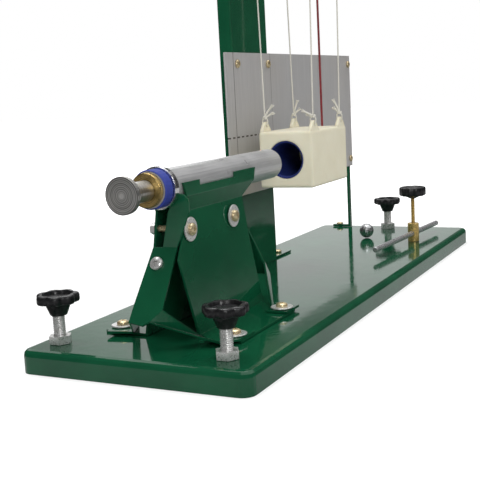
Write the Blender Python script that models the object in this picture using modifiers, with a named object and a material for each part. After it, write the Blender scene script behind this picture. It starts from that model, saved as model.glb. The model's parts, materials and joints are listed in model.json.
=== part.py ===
"""Ballistic pendulum: a spring gun shoots a ball into a hanging block beside a scale plate.

Metres, +Z up. +X is the firing direction and +Y its left. The origin is on the table, under the
middle of the base.
"""

import math

import bmesh
import bpy
from mathutils import Matrix, Vector

# Fits
GAP = 0.0003
MERGE = 0.00001
HOLE_EASE = 0.0003

# Base tray
BASE_LENGTH = 0.515
BASE_WIDTH = 0.160
BASE_HEIGHT = 0.015
BASE_SHEET = 0.0015
BASE_CORNER_RADIUS = 0.008
BASE_EDGE_RADIUS = 0.004

# Levelling screws: two at the near end, one at the far end
LEVEL_NEAR_INSET = 0.0215
LEVEL_FAR_INSET = 0.017
LEVEL_RIGHT_INSET = 0.0243
LEVEL_LEFT_INSET = 0.0167
STUD_RADIUS = 0.004
STUD_FLOOR_GAP = 0.0008
NUT_FLATS = 0.013
NUT_HEIGHT = 0.005
KNOB_RADIUS = 0.0138
KNOB_RIM_HEIGHT = 0.006
KNOB_BOSS_HEIGHT = 0.0078
KNOB_BOSS_RADII = (0.0086, 0.0054)
KNOB_TOP_HEIGHT = 0.032
KNOB_LOBES = 7
KNOB_VALLEY = 0.0018
KNOB_SOCKET_DEPTH = 0.009
KNOB_DISH = (0.0102, 0.0024)

# Spring gun; its axis rides over the neck of the stand
GUN_OVER_NECK = 0.0162
BARREL_BEHIND_STAND = 0.0628
BARREL_RADIUS = 0.01125
BORE_RADIUS = 0.0076
BARREL_LENGTH = 0.1708
GLAND_RADIUS = 0.0107
GLAND_FLANGE_LENGTH = 0.0033
GLAND_SPIGOT_LENGTH = 0.015
BUFFER_RADIUS = 0.0122
BUFFER_LENGTH = 0.0088
BUFFER_EDGE = 0.0007
COLLAR_RADIUS = 0.0135
COLLAR_LENGTH = 0.0046
COLLAR_EDGE = 0.0005
PULL_KNOB_RADIUS = 0.01125
PULL_KNOB_RIM = 0.003
PULL_KNOB_GROOVE = (0.0007, 0.0008)
PULL_KNOB_CONE = 0.0013
PULL_KNOB_BOSS_LENGTH = 0.0208
PULL_KNOB_BOSS_RADIUS = 0.0065
PLUNGER_RADIUS = 0.004
PLUNGER_SOCKET_DEPTH = 0.009
PISTON_REAR = 0.117
PISTON_LENGTH = 0.012
SPRING_WIRE_RADIUS = 0.0007
SPRING_MEAN_RADIUS = 0.0058
SPRING_TURNS = 12
SPRING_POINTS_PER_TURN = 8

# Gun stand of folded sheet: heights over the base, lengths from the stand's middle
STAND_INSET = 0.100
STAND_SHEET = 0.0015
NECK_HEIGHT = 0.079
WAIST_UNDER_NECK = 0.028
LIP_START_OVER_NECK = 0.0098
LIP_TOP_OVER_NECK = 0.0185
PANEL_UNDER_NECK = 0.021
CLAMP_UNDER_NECK = 0.0112
EAR_SHOULDER_OVER_NECK = 0.001
EAR_TOP_OVER_NECK = 0.0125
FOOT_OUTER_Y = 0.0495
FOOT_CREASE_Y = 0.018
NECK_Y = 0.010
LIP_NOTCH_DEPTH = 0.0035
LIP_NOTCH_NEAR = -0.0226
LIP_NOTCH_FAR = 0.0265
FOOT_OUTER_NEAR = -0.048
FOOT_OUTER_FAR = 0.034
FOOT_CREASE_NEAR = -0.0432
FOOT_CREASE_FAR = 0.050
WAIST_NEAR = -0.054
WAIST_FAR = 0.043
NECK_NEAR = -0.034
NECK_FAR = 0.041
LIP_START_NEAR = -0.040
LIP_START_FAR = 0.055
LIP_TOP_NEAR = -0.043
LIP_TOP_FAR = 0.058
PANEL_NECK_X = 0.0485
PANEL_NECK_HALF = 0.0085
PANEL_FOOT_X = 0.078
PANEL_FOOT_HEIGHT = 0.016
EAR_STRIP_Y = 0.0016
EAR_SIDE_Y = 0.0185
EAR_RADIUS = 0.0058
EAR_STEPS = 6
SADDLE_EASE = 0.0008

# Where the straps leave a leg panel: shares of the way down it, and half widths
STRAP_WIDE_SHARES = (0.75, 0.99)
STRAP_WIDE_Y = (0.0110, 0.0114)
STRAP_NARROW_SHARES = (0.80, 0.96)
STRAP_NARROW_Y = (0.0100, 0.0031)
NEAR_ARCH_SHARE = 1.02
NEAR_ARCH_Y = 0.0015
FAR_ARCH_SHARE = 0.97
FAR_ARCH_Y = 0.0060

# Foot pads, out from the stand's middle and from the gun plane; the first two points are the strap's fold
PAD_NEAR_RIGHT = ((0.053, 0.026), (0.060, 0.041), (0.050, 0.050), (0.030, 0.050), (0.030, 0.026))
PAD_NEAR_LEFT = ((0.034, 0.0342), (0.054, 0.0255), (0.0575, 0.0425), (0.026, 0.0485))
PAD_FAR = ((0.030, 0.0345), (0.042, 0.0297), (0.040, 0.050), (0.0195, 0.050), (0.0195, 0.0345))

# Fasteners: shank radius, head radius and head height
FOOT_SCREW = (0.0020, 0.0040, 0.0028)
FOOT_SCREW_NEAR_X = -0.043
FOOT_SCREW_FAR_X = 0.028
FOOT_SCREW_Y = 0.0425
FOOT_SCREW_NEAR_LEFT_Y = 0.0395
FOOT_WASHER = (0.0077, 0.0010)
FOOT_SCREW_BELOW = 0.003
CLAMP_NEAR_X = -0.0375
CLAMP_FAR_X = 0.0215
CLAMP_NUT_FLATS = 0.007
CLAMP_NUT_LENGTH = 0.0032
CLAMP_TAIL = 0.001
PANEL_SCREW_Y = 0.0024
PANEL_SCREW_SHARE = 0.225
PANEL_SCREW_HEAD = (0.0043, 0.0030)
PANEL_SCREW_LENGTH = 0.009
SMALL_SCREW = (0.0015, 0.0034, 0.0022)
SMALL_SCREW_GRIP = 0.006

# Column and top arm
COLUMN_WIDTH = 0.0715
COLUMN_SIDE_INSET = 0.0363
COLUMN_DEPTH = 0.010
COLUMN_HEIGHT = 0.400
COLUMN_SHEET = 0.0015
COLUMN_BEND = 0.003
COLUMN_FOOT_REACH = 0.036
COLUMN_FOOT_DEPTH = 0.022
COLUMN_SCREW_INSET = 0.012
ARM_SHEET = 0.0015
ARM_NEAR_REACH = 0.008
ARM_POINTER_REACH = 0.011
ARM_FRONT_Y = -0.036
ARM_LEG_HEIGHT = 0.030
ARM_LIP = 0.011
ARM_LIP_BACK = 0.004
ARM_SCREW_DROP = 0.018
ARM_SCREW_SPREAD = 0.020

# String and pointer eyes
EYE_RING_RADIUS = 0.0026
EYE_WIRE_RADIUS = 0.0008
EYE_DROP = 0.0052
EYE_HEAD = (0.0030, 0.0022)
STRING_RADIUS = 0.0006
LOOP_RADIUS = 0.0033
LOOP_REST = 0.0006
KNOT_RADIUS = 0.0015
STRING_TOP_Y = 0.025

# Catch block
BLOCK_FROM_MUZZLE = 0.033
BLOCK_LENGTH = 0.078
BLOCK_WIDTH = 0.046
BLOCK_TALL = 0.045
BLOCK_EDGE = 0.0018
CATCH_RADIUS = 0.0152
CATCH_DEPTH = 0.062
LINER_WALL = 0.0016
LINER_LENGTH = 0.058
LUG_LENGTH = 0.015
LUG_TOP_LENGTH = 0.0046
LUG_TALL = 0.0078
LUG_THICK = 0.003
LUG_SINK = 0.002
LUG_INSET_X = 0.0095
LUG_INSET_Y = 0.0006
LUG_HOLE_RADIUS = 0.0012
LUG_HOLE_HEIGHT = 0.0045

# Pointer
POINTER_RADIUS = 0.0010
POINTER_GAP = 0.0020
POINTER_TIP_HEIGHT = 0.085

# Scale plate and its support strip
PLATE_NEAR_REACH = 0.014
PLATE_FAR_INSET = 0.0025
PLATE_Z = (0.066, 0.182)
PLATE_THICK = 0.0013
PLATE_SCREW_DROP = 0.009
PLATE_SCREW_RISE = 0.008
STRIP_INSET = 0.0065
STRIP_WIDTH = 0.005
STRIP_THICK = 0.0025
STRIP_FOOT_LENGTH = 0.020
STRIP_FOOT_THICK = 0.002
STRIP_TOP_DROP = 0.003

# Clamp post with its rod and thumb screw
POST_FAR_INSET = 0.0915
POST_SIDE_INSET = 0.0307
POST_RADIUS = 0.0053
POST_HEIGHT = 0.0175
POST_SPIGOT = (0.0020, 0.005)
ROD_RADIUS = 0.0025
ROD_HEIGHT = 0.008
ROD_BACK = 0.095
ROD_FRONT = 0.066
ROD_TURN = math.radians(-4.2)
THUMB_STEM_RADIUS = 0.0019
THUMB_TOP_HEIGHT = 0.0526
THUMB_RADIUS = 0.0125
THUMB_RIM_HEIGHT = 0.0085
THUMB_BOSS_HEIGHT = 0.0025
THUMB_LOBES = 10
THUMB_VALLEY = 0.0009
THUMB_SOCKET_DEPTH = 0.007
THUMB_DISH = (0.0095, 0.0010)

# Steel ball
BALL_RADIUS = 0.007
BALL_FAR_INSET = 0.0795
BALL_Y = 0.002

# Worked out from the driving sizes
TOP = BASE_HEIGHT
BASE_NEAR = -BASE_LENGTH / 2
BASE_FAR = BASE_LENGTH / 2
NEAR_X = BASE_NEAR + LEVEL_NEAR_INSET
FAR_X = BASE_FAR - LEVEL_FAR_INSET
STAND_X = BASE_NEAR + STAND_INSET
AXIS_Z = TOP + NECK_HEIGHT + GUN_OVER_NECK
WAIST_HEIGHT = NECK_HEIGHT - WAIST_UNDER_NECK
LIP_START_HEIGHT = NECK_HEIGHT + LIP_START_OVER_NECK
LIP_TOP_HEIGHT = NECK_HEIGHT + LIP_TOP_OVER_NECK
PANEL_NECK_HEIGHT = NECK_HEIGHT - PANEL_UNDER_NECK
CLAMP_HEIGHT = NECK_HEIGHT - CLAMP_UNDER_NECK
EAR_SHOULDER_HEIGHT = NECK_HEIGHT + EAR_SHOULDER_OVER_NECK
EAR_TOP_HEIGHT = NECK_HEIGHT + EAR_TOP_OVER_NECK
BARREL_REAR = STAND_X - BARREL_BEHIND_STAND
SHEET_TOP = TOP + GAP + STAND_SHEET
PAD_TOP = SHEET_TOP + GAP + STAND_SHEET
LIP_Y = BARREL_RADIUS + GAP + STAND_SHEET
BLOCK_Z = AXIS_Z
BLOCK_NEAR_X = BARREL_REAR + BARREL_LENGTH + BLOCK_FROM_MUZZLE
BLOCK_TOP = BLOCK_Z + BLOCK_TALL / 2
LUG_X = (BLOCK_NEAR_X + LUG_INSET_X, BLOCK_NEAR_X + BLOCK_LENGTH - LUG_INSET_X)
LUG_Y = BLOCK_WIDTH / 2 - LUG_INSET_Y - LUG_THICK / 2
LUG_HOLE_Z = BLOCK_TOP + LUG_HOLE_HEIGHT
ARM_TOP = TOP + COLUMN_HEIGHT
EYE_Z = ARM_TOP - ARM_SHEET - EYE_DROP
PIVOT_Z = EYE_Z - LOOP_REST
POINTER_X = BLOCK_NEAR_X + BLOCK_LENGTH + POINTER_GAP + POINTER_RADIUS
COLUMN_X = (BLOCK_NEAR_X, BLOCK_NEAR_X + COLUMN_WIDTH)
COLUMN_FRONT_Y = BASE_WIDTH / 2 - COLUMN_SIDE_INSET
PLATE_X = (COLUMN_X[0] - PLATE_NEAR_REACH, BASE_FAR - PLATE_FAR_INSET)
PLATE_BACK_Y = COLUMN_FRONT_Y - GAP
PLATE_FRONT_Y = PLATE_BACK_Y - PLATE_THICK
STRIP_X = PLATE_X[1] - STRIP_INSET
POST_X = BASE_FAR - POST_FAR_INSET
POST_Y = POST_SIDE_INSET - BASE_WIDTH / 2
BALL_X = BASE_FAR - BALL_FAR_INSET
STRAP_WIDE = tuple(zip(STRAP_WIDE_SHARES, STRAP_WIDE_Y))
STRAP_NARROW = tuple(zip(STRAP_NARROW_SHARES, STRAP_NARROW_Y))

FINISHES = {
    "enamel": ((0.006, 0.060, 0.026), 0.12, 0.0),
    "black": ((0.012, 0.012, 0.013), 0.45, 0.0),
    "zinc": ((0.62, 0.62, 0.60), 0.28, 1.0),
    "steel": ((0.56, 0.57, 0.58), 0.22, 1.0),
    "satin": ((0.52, 0.53, 0.55), 0.36, 1.0),
    "chrome": ((0.80, 0.80, 0.80), 0.08, 1.0),
    "brass": ((0.72, 0.52, 0.20), 0.26, 1.0),
    "blue": ((0.020, 0.045, 0.360), 0.70, 0.0),
    "cream": ((0.80, 0.74, 0.56), 0.45, 0.0),
    "string": ((0.82, 0.81, 0.74), 0.85, 0.0),
    "red": ((0.35, 0.015, 0.020), 0.40, 0.0),
    "scale": ((0.56, 0.56, 0.57), 0.40, 1.0),
}


def new_collection(name, parent):
    group = bpy.data.collections.new(name)
    parent.children.link(group)
    return group


def clear_scene():
    for obj in list(bpy.data.objects):
        bpy.data.objects.remove(obj, do_unlink=True)


clear_scene()
PARTS = new_collection("ballistic_pendulum", bpy.context.scene.collection)
HELPERS = new_collection("ballistic_pendulum_cutters", bpy.context.scene.collection)


def finish_material(name, finish):
    colour, roughness, metallic = FINISHES[finish]
    made = bpy.data.materials.new(f"{name}_{finish}")
    made.use_nodes = True
    shader = made.node_tree.nodes["Principled BSDF"]
    shader.inputs["Base Color"].default_value = (*colour, 1.0)
    shader.inputs["Roughness"].default_value = roughness
    shader.inputs["Metallic"].default_value = metallic
    return made


def place(name, mesh, finish, matrix):
    """Puts a mesh in the scene: a part if it has a finish, otherwise a hidden helper."""
    obj = bpy.data.objects.new(name, mesh)
    obj.matrix_world = matrix
    if finish:
        PARTS.objects.link(obj)
        mesh.materials.append(finish_material(name, finish))
    else:
        HELPERS.objects.link(obj)
        obj.hide_render = True
        obj.display_type = "WIRE"
    return obj


def mesh_from(bm, name, smooth=False):
    mesh = bpy.data.meshes.new(name)
    bm.to_mesh(mesh)
    bm.free()
    if smooth:
        mesh.shade_smooth()
        mesh.set_sharp_from_angle(angle=math.radians(35))
    return mesh


def along(axis, origin):
    """The matrix that puts local Z along an axis, at an origin."""
    turn = Vector((0, 0, 1)).rotation_difference(Vector(axis)).to_matrix().to_4x4()
    return Matrix.Translation(origin) @ turn


def turned(name, profile, finish, matrix, steps=20, ring=False):
    """A turned piece. Its (radius, height) points run down the outer side; a ring closes on itself."""
    bm = bmesh.new()
    points = [bm.verts.new((radius, 0, height)) for radius, height in profile]
    for first, second in zip(points, points[1:]):
        bm.edges.new((first, second))
    if ring:
        bm.edges.new((points[-1], points[0]))
    obj = place(name, mesh_from(bm, name), finish, matrix)
    screw = obj.modifiers.new("turn", "SCREW")
    screw.steps = screw.render_steps = steps
    screw.use_merge_vertices = True
    screw.merge_threshold = MERGE
    screw.use_smooth_shade = True
    return obj


def cylinder(name, radius, bottom, top, finish, matrix, steps=16):
    bm = bmesh.new()
    bmesh.ops.create_cone(
        bm, cap_ends=True, segments=steps, radius1=radius, radius2=radius, depth=top - bottom,
        matrix=Matrix.Translation((0, 0, (top + bottom) / 2)),
    )
    return place(name, mesh_from(bm, name, smooth=True), finish, matrix)


def box(name, low, high, finish, bevel=0.0, segments=2):
    bm = bmesh.new()
    size = Vector(high) - Vector(low)
    bmesh.ops.create_cube(bm, size=1.0, matrix=Matrix.Diagonal((*size, 1.0)))
    if bevel:
        bmesh.ops.bevel(bm, geom=bm.edges[:], offset=bevel, segments=segments, profile=0.5, affect="EDGES")
    middle = (Vector(high) + Vector(low)) / 2
    return place(name, mesh_from(bm, name), finish, Matrix.Translation(middle))


def prism(name, outline, thickness, finish, matrix):
    """A flat outline in its local XY plane, made thick both ways along local Z."""
    curve = bpy.data.curves.new(name, "CURVE")
    curve.dimensions = "2D"
    curve.fill_mode = "BOTH"
    curve.extrude = thickness / 2
    spline = curve.splines.new("POLY")
    spline.points.add(len(outline) - 1)
    for point, (x, y) in zip(spline.points, outline):
        point.co = (x, y, 0, 1)
    spline.use_cyclic_u = True
    holder = bpy.data.objects.new(name + "_outline", curve)
    HELPERS.objects.link(holder)
    mesh = welded_mesh(holder, name)
    return place(name, mesh, finish, matrix)


def welded_mesh(holder, name):
    """The mesh of a curve object, with its caps welded on; the curve is removed."""
    graph = bpy.context.evaluated_depsgraph_get()
    mesh = bpy.data.meshes.new_from_object(holder.evaluated_get(graph))
    mesh.name = name
    bm = bmesh.new()
    bm.from_mesh(mesh)
    bmesh.ops.remove_doubles(bm, verts=bm.verts[:], dist=MERGE)
    bmesh.ops.recalc_face_normals(bm, faces=bm.faces[:])
    bm.to_mesh(mesh)
    bm.free()
    bpy.data.objects.remove(holder, do_unlink=True)
    return mesh


def sheet(name, points, faces, thickness, finish):
    """A folded sheet: its outer faces, made thick on their inner side."""
    bm = bmesh.new()
    verts = [bm.verts.new(point) for point in points]
    for face in faces:
        bm.faces.new([verts[index] for index in face])
    obj = place(name, mesh_from(bm, name), finish, Matrix.Identity(4))
    solid = obj.modifiers.new("thick", "SOLIDIFY")
    solid.thickness = thickness
    solid.offset = -1.0
    solid.use_even_offset = True
    solid.use_quality_normals = True
    return obj


def combine(obj, helpers, operation):
    """Cuts the helpers from an object, or joins them to it, in one Boolean."""
    group = new_collection(f"{obj.name}_{operation.lower()}", HELPERS)
    for helper in helpers:
        HELPERS.objects.unlink(helper)
        group.objects.link(helper)
    boolean = obj.modifiers.new(operation.lower(), "BOOLEAN")
    boolean.operation = operation
    boolean.operand_type = "COLLECTION"
    boolean.collection = group
    boolean.solver = "EXACT"


def hole(name, radius, middle, axis, length, steps=12):
    return cylinder(name, radius, -length / 2, length / 2, None, along(axis, middle), steps)


def pivot(name, location, pieces):
    """An empty on a joint's axis, which carries the moving pieces."""
    empty = bpy.data.objects.new(name, None)
    PARTS.objects.link(empty)
    empty.location = location
    for piece in pieces:
        piece.parent = empty
        piece.matrix_parent_inverse = Matrix.Translation(-Vector(location))
    return empty


def level_places():
    return {
        "near_right": (NEAR_X, LEVEL_RIGHT_INSET - BASE_WIDTH / 2),
        "near_left": (NEAR_X, BASE_WIDTH / 2 - LEVEL_LEFT_INSET),
        "far": (FAR_X, 0.0),
    }


def foot_screw_places():
    near = STAND_X + FOOT_SCREW_NEAR_X
    far = STAND_X + FOOT_SCREW_FAR_X
    return {
        "near_right": (near, -FOOT_SCREW_Y),
        "near_left": (near, FOOT_SCREW_NEAR_LEFT_Y),
        "far_right": (far, -FOOT_SCREW_Y),
        "far_left": (far, FOOT_SCREW_Y),
    }


def column_screw_places():
    back = COLUMN_FRONT_Y + COLUMN_FOOT_DEPTH / 2
    reach = COLUMN_FOOT_REACH - COLUMN_SCREW_INSET
    return {"near": (COLUMN_X[0] - reach, back), "far": (COLUMN_X[1] + reach, back)}


def strip_screw_place():
    return (STRIP_X, COLUMN_FRONT_Y + STRIP_FOOT_LENGTH * 0.65)


def make_base():
    bm = bmesh.new()
    size = Matrix.Diagonal((BASE_LENGTH, BASE_WIDTH, BASE_HEIGHT, 1.0))
    bmesh.ops.create_cube(bm, size=1.0, matrix=Matrix.Translation((0, 0, BASE_HEIGHT / 2)) @ size)
    upright = [edge for edge in bm.edges if abs(edge.verts[0].co.z - edge.verts[1].co.z) > MERGE]
    bmesh.ops.bevel(
        bm, geom=upright, offset=BASE_CORNER_RADIUS, segments=5, profile=0.5, affect="EDGES")
    rim = [edge for edge in bm.edges if all(vert.co.z > BASE_HEIGHT - MERGE for vert in edge.verts)]
    bmesh.ops.bevel(bm, geom=rim, offset=BASE_EDGE_RADIUS, segments=3, profile=0.5, affect="EDGES")
    under = [face for face in bm.faces if face.calc_center_median().z < MERGE]
    bmesh.ops.delete(bm, geom=under, context="FACES_ONLY")
    tray = place("base_plate", mesh_from(bm, "base_plate", smooth=True), "enamel", Matrix.Identity(4))
    solid = tray.modifiers.new("thick", "SOLIDIFY")
    solid.thickness = BASE_SHEET
    solid.offset = -1.0
    solid.use_even_offset = True
    holes = [(place_xy, STUD_RADIUS) for place_xy in level_places().values()]
    holes += [(place_xy, FOOT_SCREW[0]) for place_xy in foot_screw_places().values()]
    holes += [(place_xy, SMALL_SCREW[0]) for place_xy in column_screw_places().values()]
    holes += [(strip_screw_place(), SMALL_SCREW[0]), ((POST_X, POST_Y), POST_SPIGOT[0])]
    cutters = [
        hole(f"base_hole_{index}", radius + HOLE_EASE, (*place_xy, TOP), (0, 0, 1), BASE_HEIGHT)
        for index, (place_xy, radius) in enumerate(holes)
    ]
    combine(tray, cutters, "DIFFERENCE")


def hex_nut(name, flats, bore, height, finish, matrix):
    nut = cylinder(name, flats / math.sqrt(3), 0.0, height, finish, matrix, steps=6)
    cutter = cylinder(name + "_bore", bore, -height, 2 * height, None, matrix, steps=12)
    combine(nut, [cutter], "DIFFERENCE")


def lobed_knob(name, radius, lobes, valley, rim, boss, boss_radii, socket, socket_depth, dish, matrix):
    """A lobed hand knob on local Z: boss face at height 0, a blind socket below, a dish on top."""
    count = lobes * 6
    outline = []
    for index in range(count):
        angle = 2 * math.pi * index / count
        reach = radius - valley * (0.5 - 0.5 * math.cos(lobes * angle))
        outline.append((reach * math.cos(angle), reach * math.sin(angle)))
    middle = boss + rim / 2
    knob = prism(name, outline, rim, "black", matrix @ Matrix.Translation((0, 0, middle)))
    profile = [(0.0, boss + rim / 2), (boss_radii[0], boss + rim / 2), (boss_radii[0], boss)]
    profile += [(boss_radii[1], 0.0), (0.0, 0.0)]
    combine(knob, [turned(name + "_boss", profile, None, matrix, steps=18)], "UNION")
    dish_radius, dish_depth = dish
    top = boss + rim
    bore = cylinder(name + "_socket", socket + GAP, -boss, socket_depth, None, matrix, steps=12)
    hollow = cylinder(name + "_dish", dish_radius, top - dish_depth, top + rim, None, matrix, steps=20)
    combine(knob, [bore, hollow], "DIFFERENCE")


def make_level_screws():
    boss_z = TOP + KNOB_TOP_HEIGHT - KNOB_RIM_HEIGHT - KNOB_BOSS_HEIGHT
    stud_top = boss_z + KNOB_SOCKET_DEPTH - GAP
    bevel = STUD_RADIUS * 0.15
    for name, (x, y) in level_places().items():
        upright = Matrix.Translation((x, y, 0))
        profile = [(0, stud_top), (STUD_RADIUS, stud_top), (STUD_RADIUS, STUD_FLOOR_GAP + bevel)]
        profile += [(STUD_RADIUS - bevel, STUD_FLOOR_GAP), (0, STUD_FLOOR_GAP)]
        turned(f"level_stud_{name}", profile, "zinc", upright, steps=12)
        hex_nut(f"level_nut_{name}", NUT_FLATS, STUD_RADIUS + HOLE_EASE, NUT_HEIGHT, "zinc",
                Matrix.Translation((x, y, TOP + GAP)))
        lobed_knob(f"level_knob_{name}", KNOB_RADIUS, KNOB_LOBES, KNOB_VALLEY, KNOB_RIM_HEIGHT,
                   KNOB_BOSS_HEIGHT, KNOB_BOSS_RADII, STUD_RADIUS,
                   KNOB_SOCKET_DEPTH, KNOB_DISH, Matrix.Translation((x, y, boss_z)))


def web_y(height):
    """Half the distance between the stand's side plates, outside, at a height over the base."""
    foot = SHEET_TOP - TOP
    share = (height - foot) / (NECK_HEIGHT - foot)
    return FOOT_CREASE_Y + (NECK_Y - FOOT_CREASE_Y) * share


def stand_rows(hand):
    """A side plate's fold lines from foot to lip: distance from the gun plane, height, two ends.

    The left plate's web leans the other way along the gun, so its two ends change places.
    """
    foot = SHEET_TOP - TOP
    web = [
        (FOOT_CREASE_Y, foot, FOOT_CREASE_NEAR, FOOT_CREASE_FAR),
        (web_y(WAIST_HEIGHT), WAIST_HEIGHT, WAIST_NEAR, WAIST_FAR),
        (NECK_Y, NECK_HEIGHT, NECK_NEAR, NECK_FAR),
    ]
    if hand > 0:
        web = [(y, height, -far, -near) for y, height, near, far in web]
    return [
        (FOOT_OUTER_Y, foot, FOOT_OUTER_NEAR, FOOT_OUTER_FAR),
        *web,
        (LIP_Y, LIP_START_HEIGHT, LIP_START_NEAR, LIP_START_FAR),
        (LIP_Y, LIP_TOP_HEIGHT, LIP_TOP_NEAR, LIP_TOP_FAR),
    ]


def clamp_places():
    return {"near": STAND_X + CLAMP_NEAR_X, "far": STAND_X + CLAMP_FAR_X}


def make_stand_side(side, hand):
    name = f"stand_side_{side}"
    rows = stand_rows(hand)
    points = []
    for y, height, near, far in rows:
        points.append((STAND_X + near, hand * y, TOP + height))
        points.append((STAND_X + far, hand * y, TOP + height))
    faces = [(2 * i, 2 * i + 1, 2 * i + 3, 2 * i + 2) for i in range(len(rows) - 1)]
    if hand > 0:
        faces = [tuple(reversed(face)) for face in faces]
    plate = sheet(name, points, faces, STAND_SHEET, "enamel")
    notch_low = (STAND_X + LIP_NOTCH_NEAR, min(0, hand), TOP + LIP_TOP_HEIGHT - LIP_NOTCH_DEPTH)
    notch_high = (STAND_X + LIP_NOTCH_FAR, max(0, hand), TOP + LIP_TOP_HEIGHT + LIP_NOTCH_DEPTH)
    cutters = [box(name + "_notch", notch_low, notch_high, None)]
    for end, x in clamp_places().items():
        middle = (x, hand * web_y(CLAMP_HEIGHT), TOP + CLAMP_HEIGHT)
        cutters.append(hole(f"{name}_clamp_{end}", FOOT_SCREW[0] + 2 * HOLE_EASE, middle, (0, 1, 0), 0.012))
    for end in ("near", "far"):
        x, y = foot_screw_places()[f"{end}_{side}"]
        middle = (x, y, SHEET_TOP)
        cutters.append(hole(f"{name}_foot_{end}", FOOT_SCREW[0] + HOLE_EASE, middle, (0, 0, 1), 0.006))
    combine(plate, cutters, "DIFFERENCE")


def panel_point(out, share, y):
    """A point on a leg panel: share 0 at the neck, 1 at its lower edge."""
    x = PANEL_NECK_X + (PANEL_FOOT_X - PANEL_NECK_X) * share
    height = PANEL_NECK_HEIGHT + (PANEL_FOOT_HEIGHT - PANEL_NECK_HEIGHT) * share
    return (STAND_X + out * x, y, TOP + height)


def ear_points(out):
    """The ear's outline from its right shoulder over its round top to its left shoulder."""
    x = STAND_X + out * PANEL_NECK_X
    middle_y = -EAR_SIDE_Y + EAR_RADIUS
    middle_z = TOP + EAR_TOP_HEIGHT - EAR_RADIUS
    points = [(x, -EAR_SIDE_Y, TOP + EAR_SHOULDER_HEIGHT)]
    for index in range(EAR_STEPS + 1):
        angle = math.pi - math.pi * index / EAR_STEPS
        points.append((x, middle_y + EAR_RADIUS * math.cos(angle), middle_z + EAR_RADIUS * math.sin(angle)))
    points.append((x, -EAR_SIDE_Y * 0.2, TOP + EAR_SHOULDER_HEIGHT))
    return points


def panel_sides(end):
    """Each side of a leg panel: its hand, its strap's upper and lower panel point, and its pad's outline.

    A pad's first two points are its fold with the strap.
    """
    if end == "near":
        return ((-1, STRAP_NARROW, PAD_NEAR_RIGHT), (1, STRAP_WIDE, PAD_NEAR_LEFT))
    return ((-1, STRAP_WIDE, PAD_FAR), (1, STRAP_WIDE, PAD_FAR))


def make_stand_panel(end, out):
    """A leaning leg panel with two straps to the feet; the near one carries an ear beside the barrel."""
    name = f"stand_panel_{end}"
    (_, right_strap, _), (_, left_strap, _) = panel_sides(end)
    arch = [(FAR_ARCH_SHARE, FAR_ARCH_Y), (FAR_ARCH_SHARE, -FAR_ARCH_Y)]
    if end == "near":
        arch = [(NEAR_ARCH_SHARE, NEAR_ARCH_Y)]
    points = [panel_point(out, 0.0, y) for y in (-PANEL_NECK_HALF, EAR_STRIP_Y, PANEL_NECK_HALF)]
    points += [panel_point(out, share, y) for share, y in left_strap]
    points += [panel_point(out, share, y) for share, y in arch]
    points += [panel_point(out, share, -y) for share, y in reversed(right_strap)]
    count = len(points)
    faces = [tuple(range(count))]
    strap_ends = {-1: (count - 1, count - 2), 1: (3, 4)}
    for hand, _, pad_outline in panel_sides(end):
        first = len(points)
        for x, y in pad_outline:
            points.append((STAND_X + out * x, hand * y, PAD_TOP))
        upper, lower = strap_ends[hand]
        strap = (upper, lower, first + 1, first)
        pad = tuple(range(first, first + len(pad_outline)))
        faces += [strap, pad] if hand < 0 else [tuple(reversed(strap)), tuple(reversed(pad))]
    if end == "near":
        first = len(points)
        ear = ear_points(out)
        points += ear
        faces.append((1, 0, *range(first, first + len(ear))))
    if out > 0:
        faces = [tuple(reversed(face)) for face in faces]
    panel = sheet(name, points, faces, STAND_SHEET, "enamel")
    cutters = []
    for side in ("right", "left"):
        middle = (*foot_screw_places()[f"{end}_{side}"], PAD_TOP)
        cutters.append(hole(f"{name}_foot_{side}", FOOT_SCREW[0] + HOLE_EASE, middle, (0, 0, 1), 0.006))
    if end == "near":
        saddle = (STAND_X - PANEL_NECK_X, 0, AXIS_Z)
        reach = BARREL_RADIUS + SADDLE_EASE
        cutters.append(hole(name + "_saddle", reach, saddle, (1, 0, 0), 0.010, steps=32))
        middle, normal = panel_screw_frame()
        cutters.append(hole(name + "_screw", FOOT_SCREW[0] + HOLE_EASE, middle, normal, 0.010))
    combine(panel, cutters, "DIFFERENCE")


def panel_screw_frame():
    """The near panel's screw: its place on the panel and the panel's outward normal."""
    middle = panel_point(-1, PANEL_SCREW_SHARE, PANEL_SCREW_Y)
    drop = PANEL_NECK_HEIGHT - PANEL_FOOT_HEIGHT
    run = PANEL_FOOT_X - PANEL_NECK_X
    return middle, Vector((-drop, 0, run)).normalized()


def pan_profile(head, washer, shank, length):
    """A pan-head screw on local Z: its seat is at height 0, the shank points down."""
    radius, height = head
    thick = washer[1] if washer else 0.0
    crown = [(0, thick + height), (radius * 0.55, thick + height * 0.93)]
    crown += [(radius, thick + height * 0.45), (radius, thick)]
    if washer:
        crown += [(washer[0], thick), (washer[0], 0)]
    elif radius > shank:
        crown[-1] = (radius, 0)
    return crown + [(shank, 0), (shank, -length), (0, -length)]


def make_foot_screws():
    shank, head_radius, head_height = FOOT_SCREW
    seat = PAD_TOP + GAP
    length = seat - TOP + BASE_SHEET + FOOT_SCREW_BELOW
    profile = pan_profile((head_radius, head_height), FOOT_WASHER, shank, length)
    for name, (x, y) in foot_screw_places().items():
        turned(f"foot_screw_{name}", profile, "zinc", Matrix.Translation((x, y, seat)), steps=14)


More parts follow.
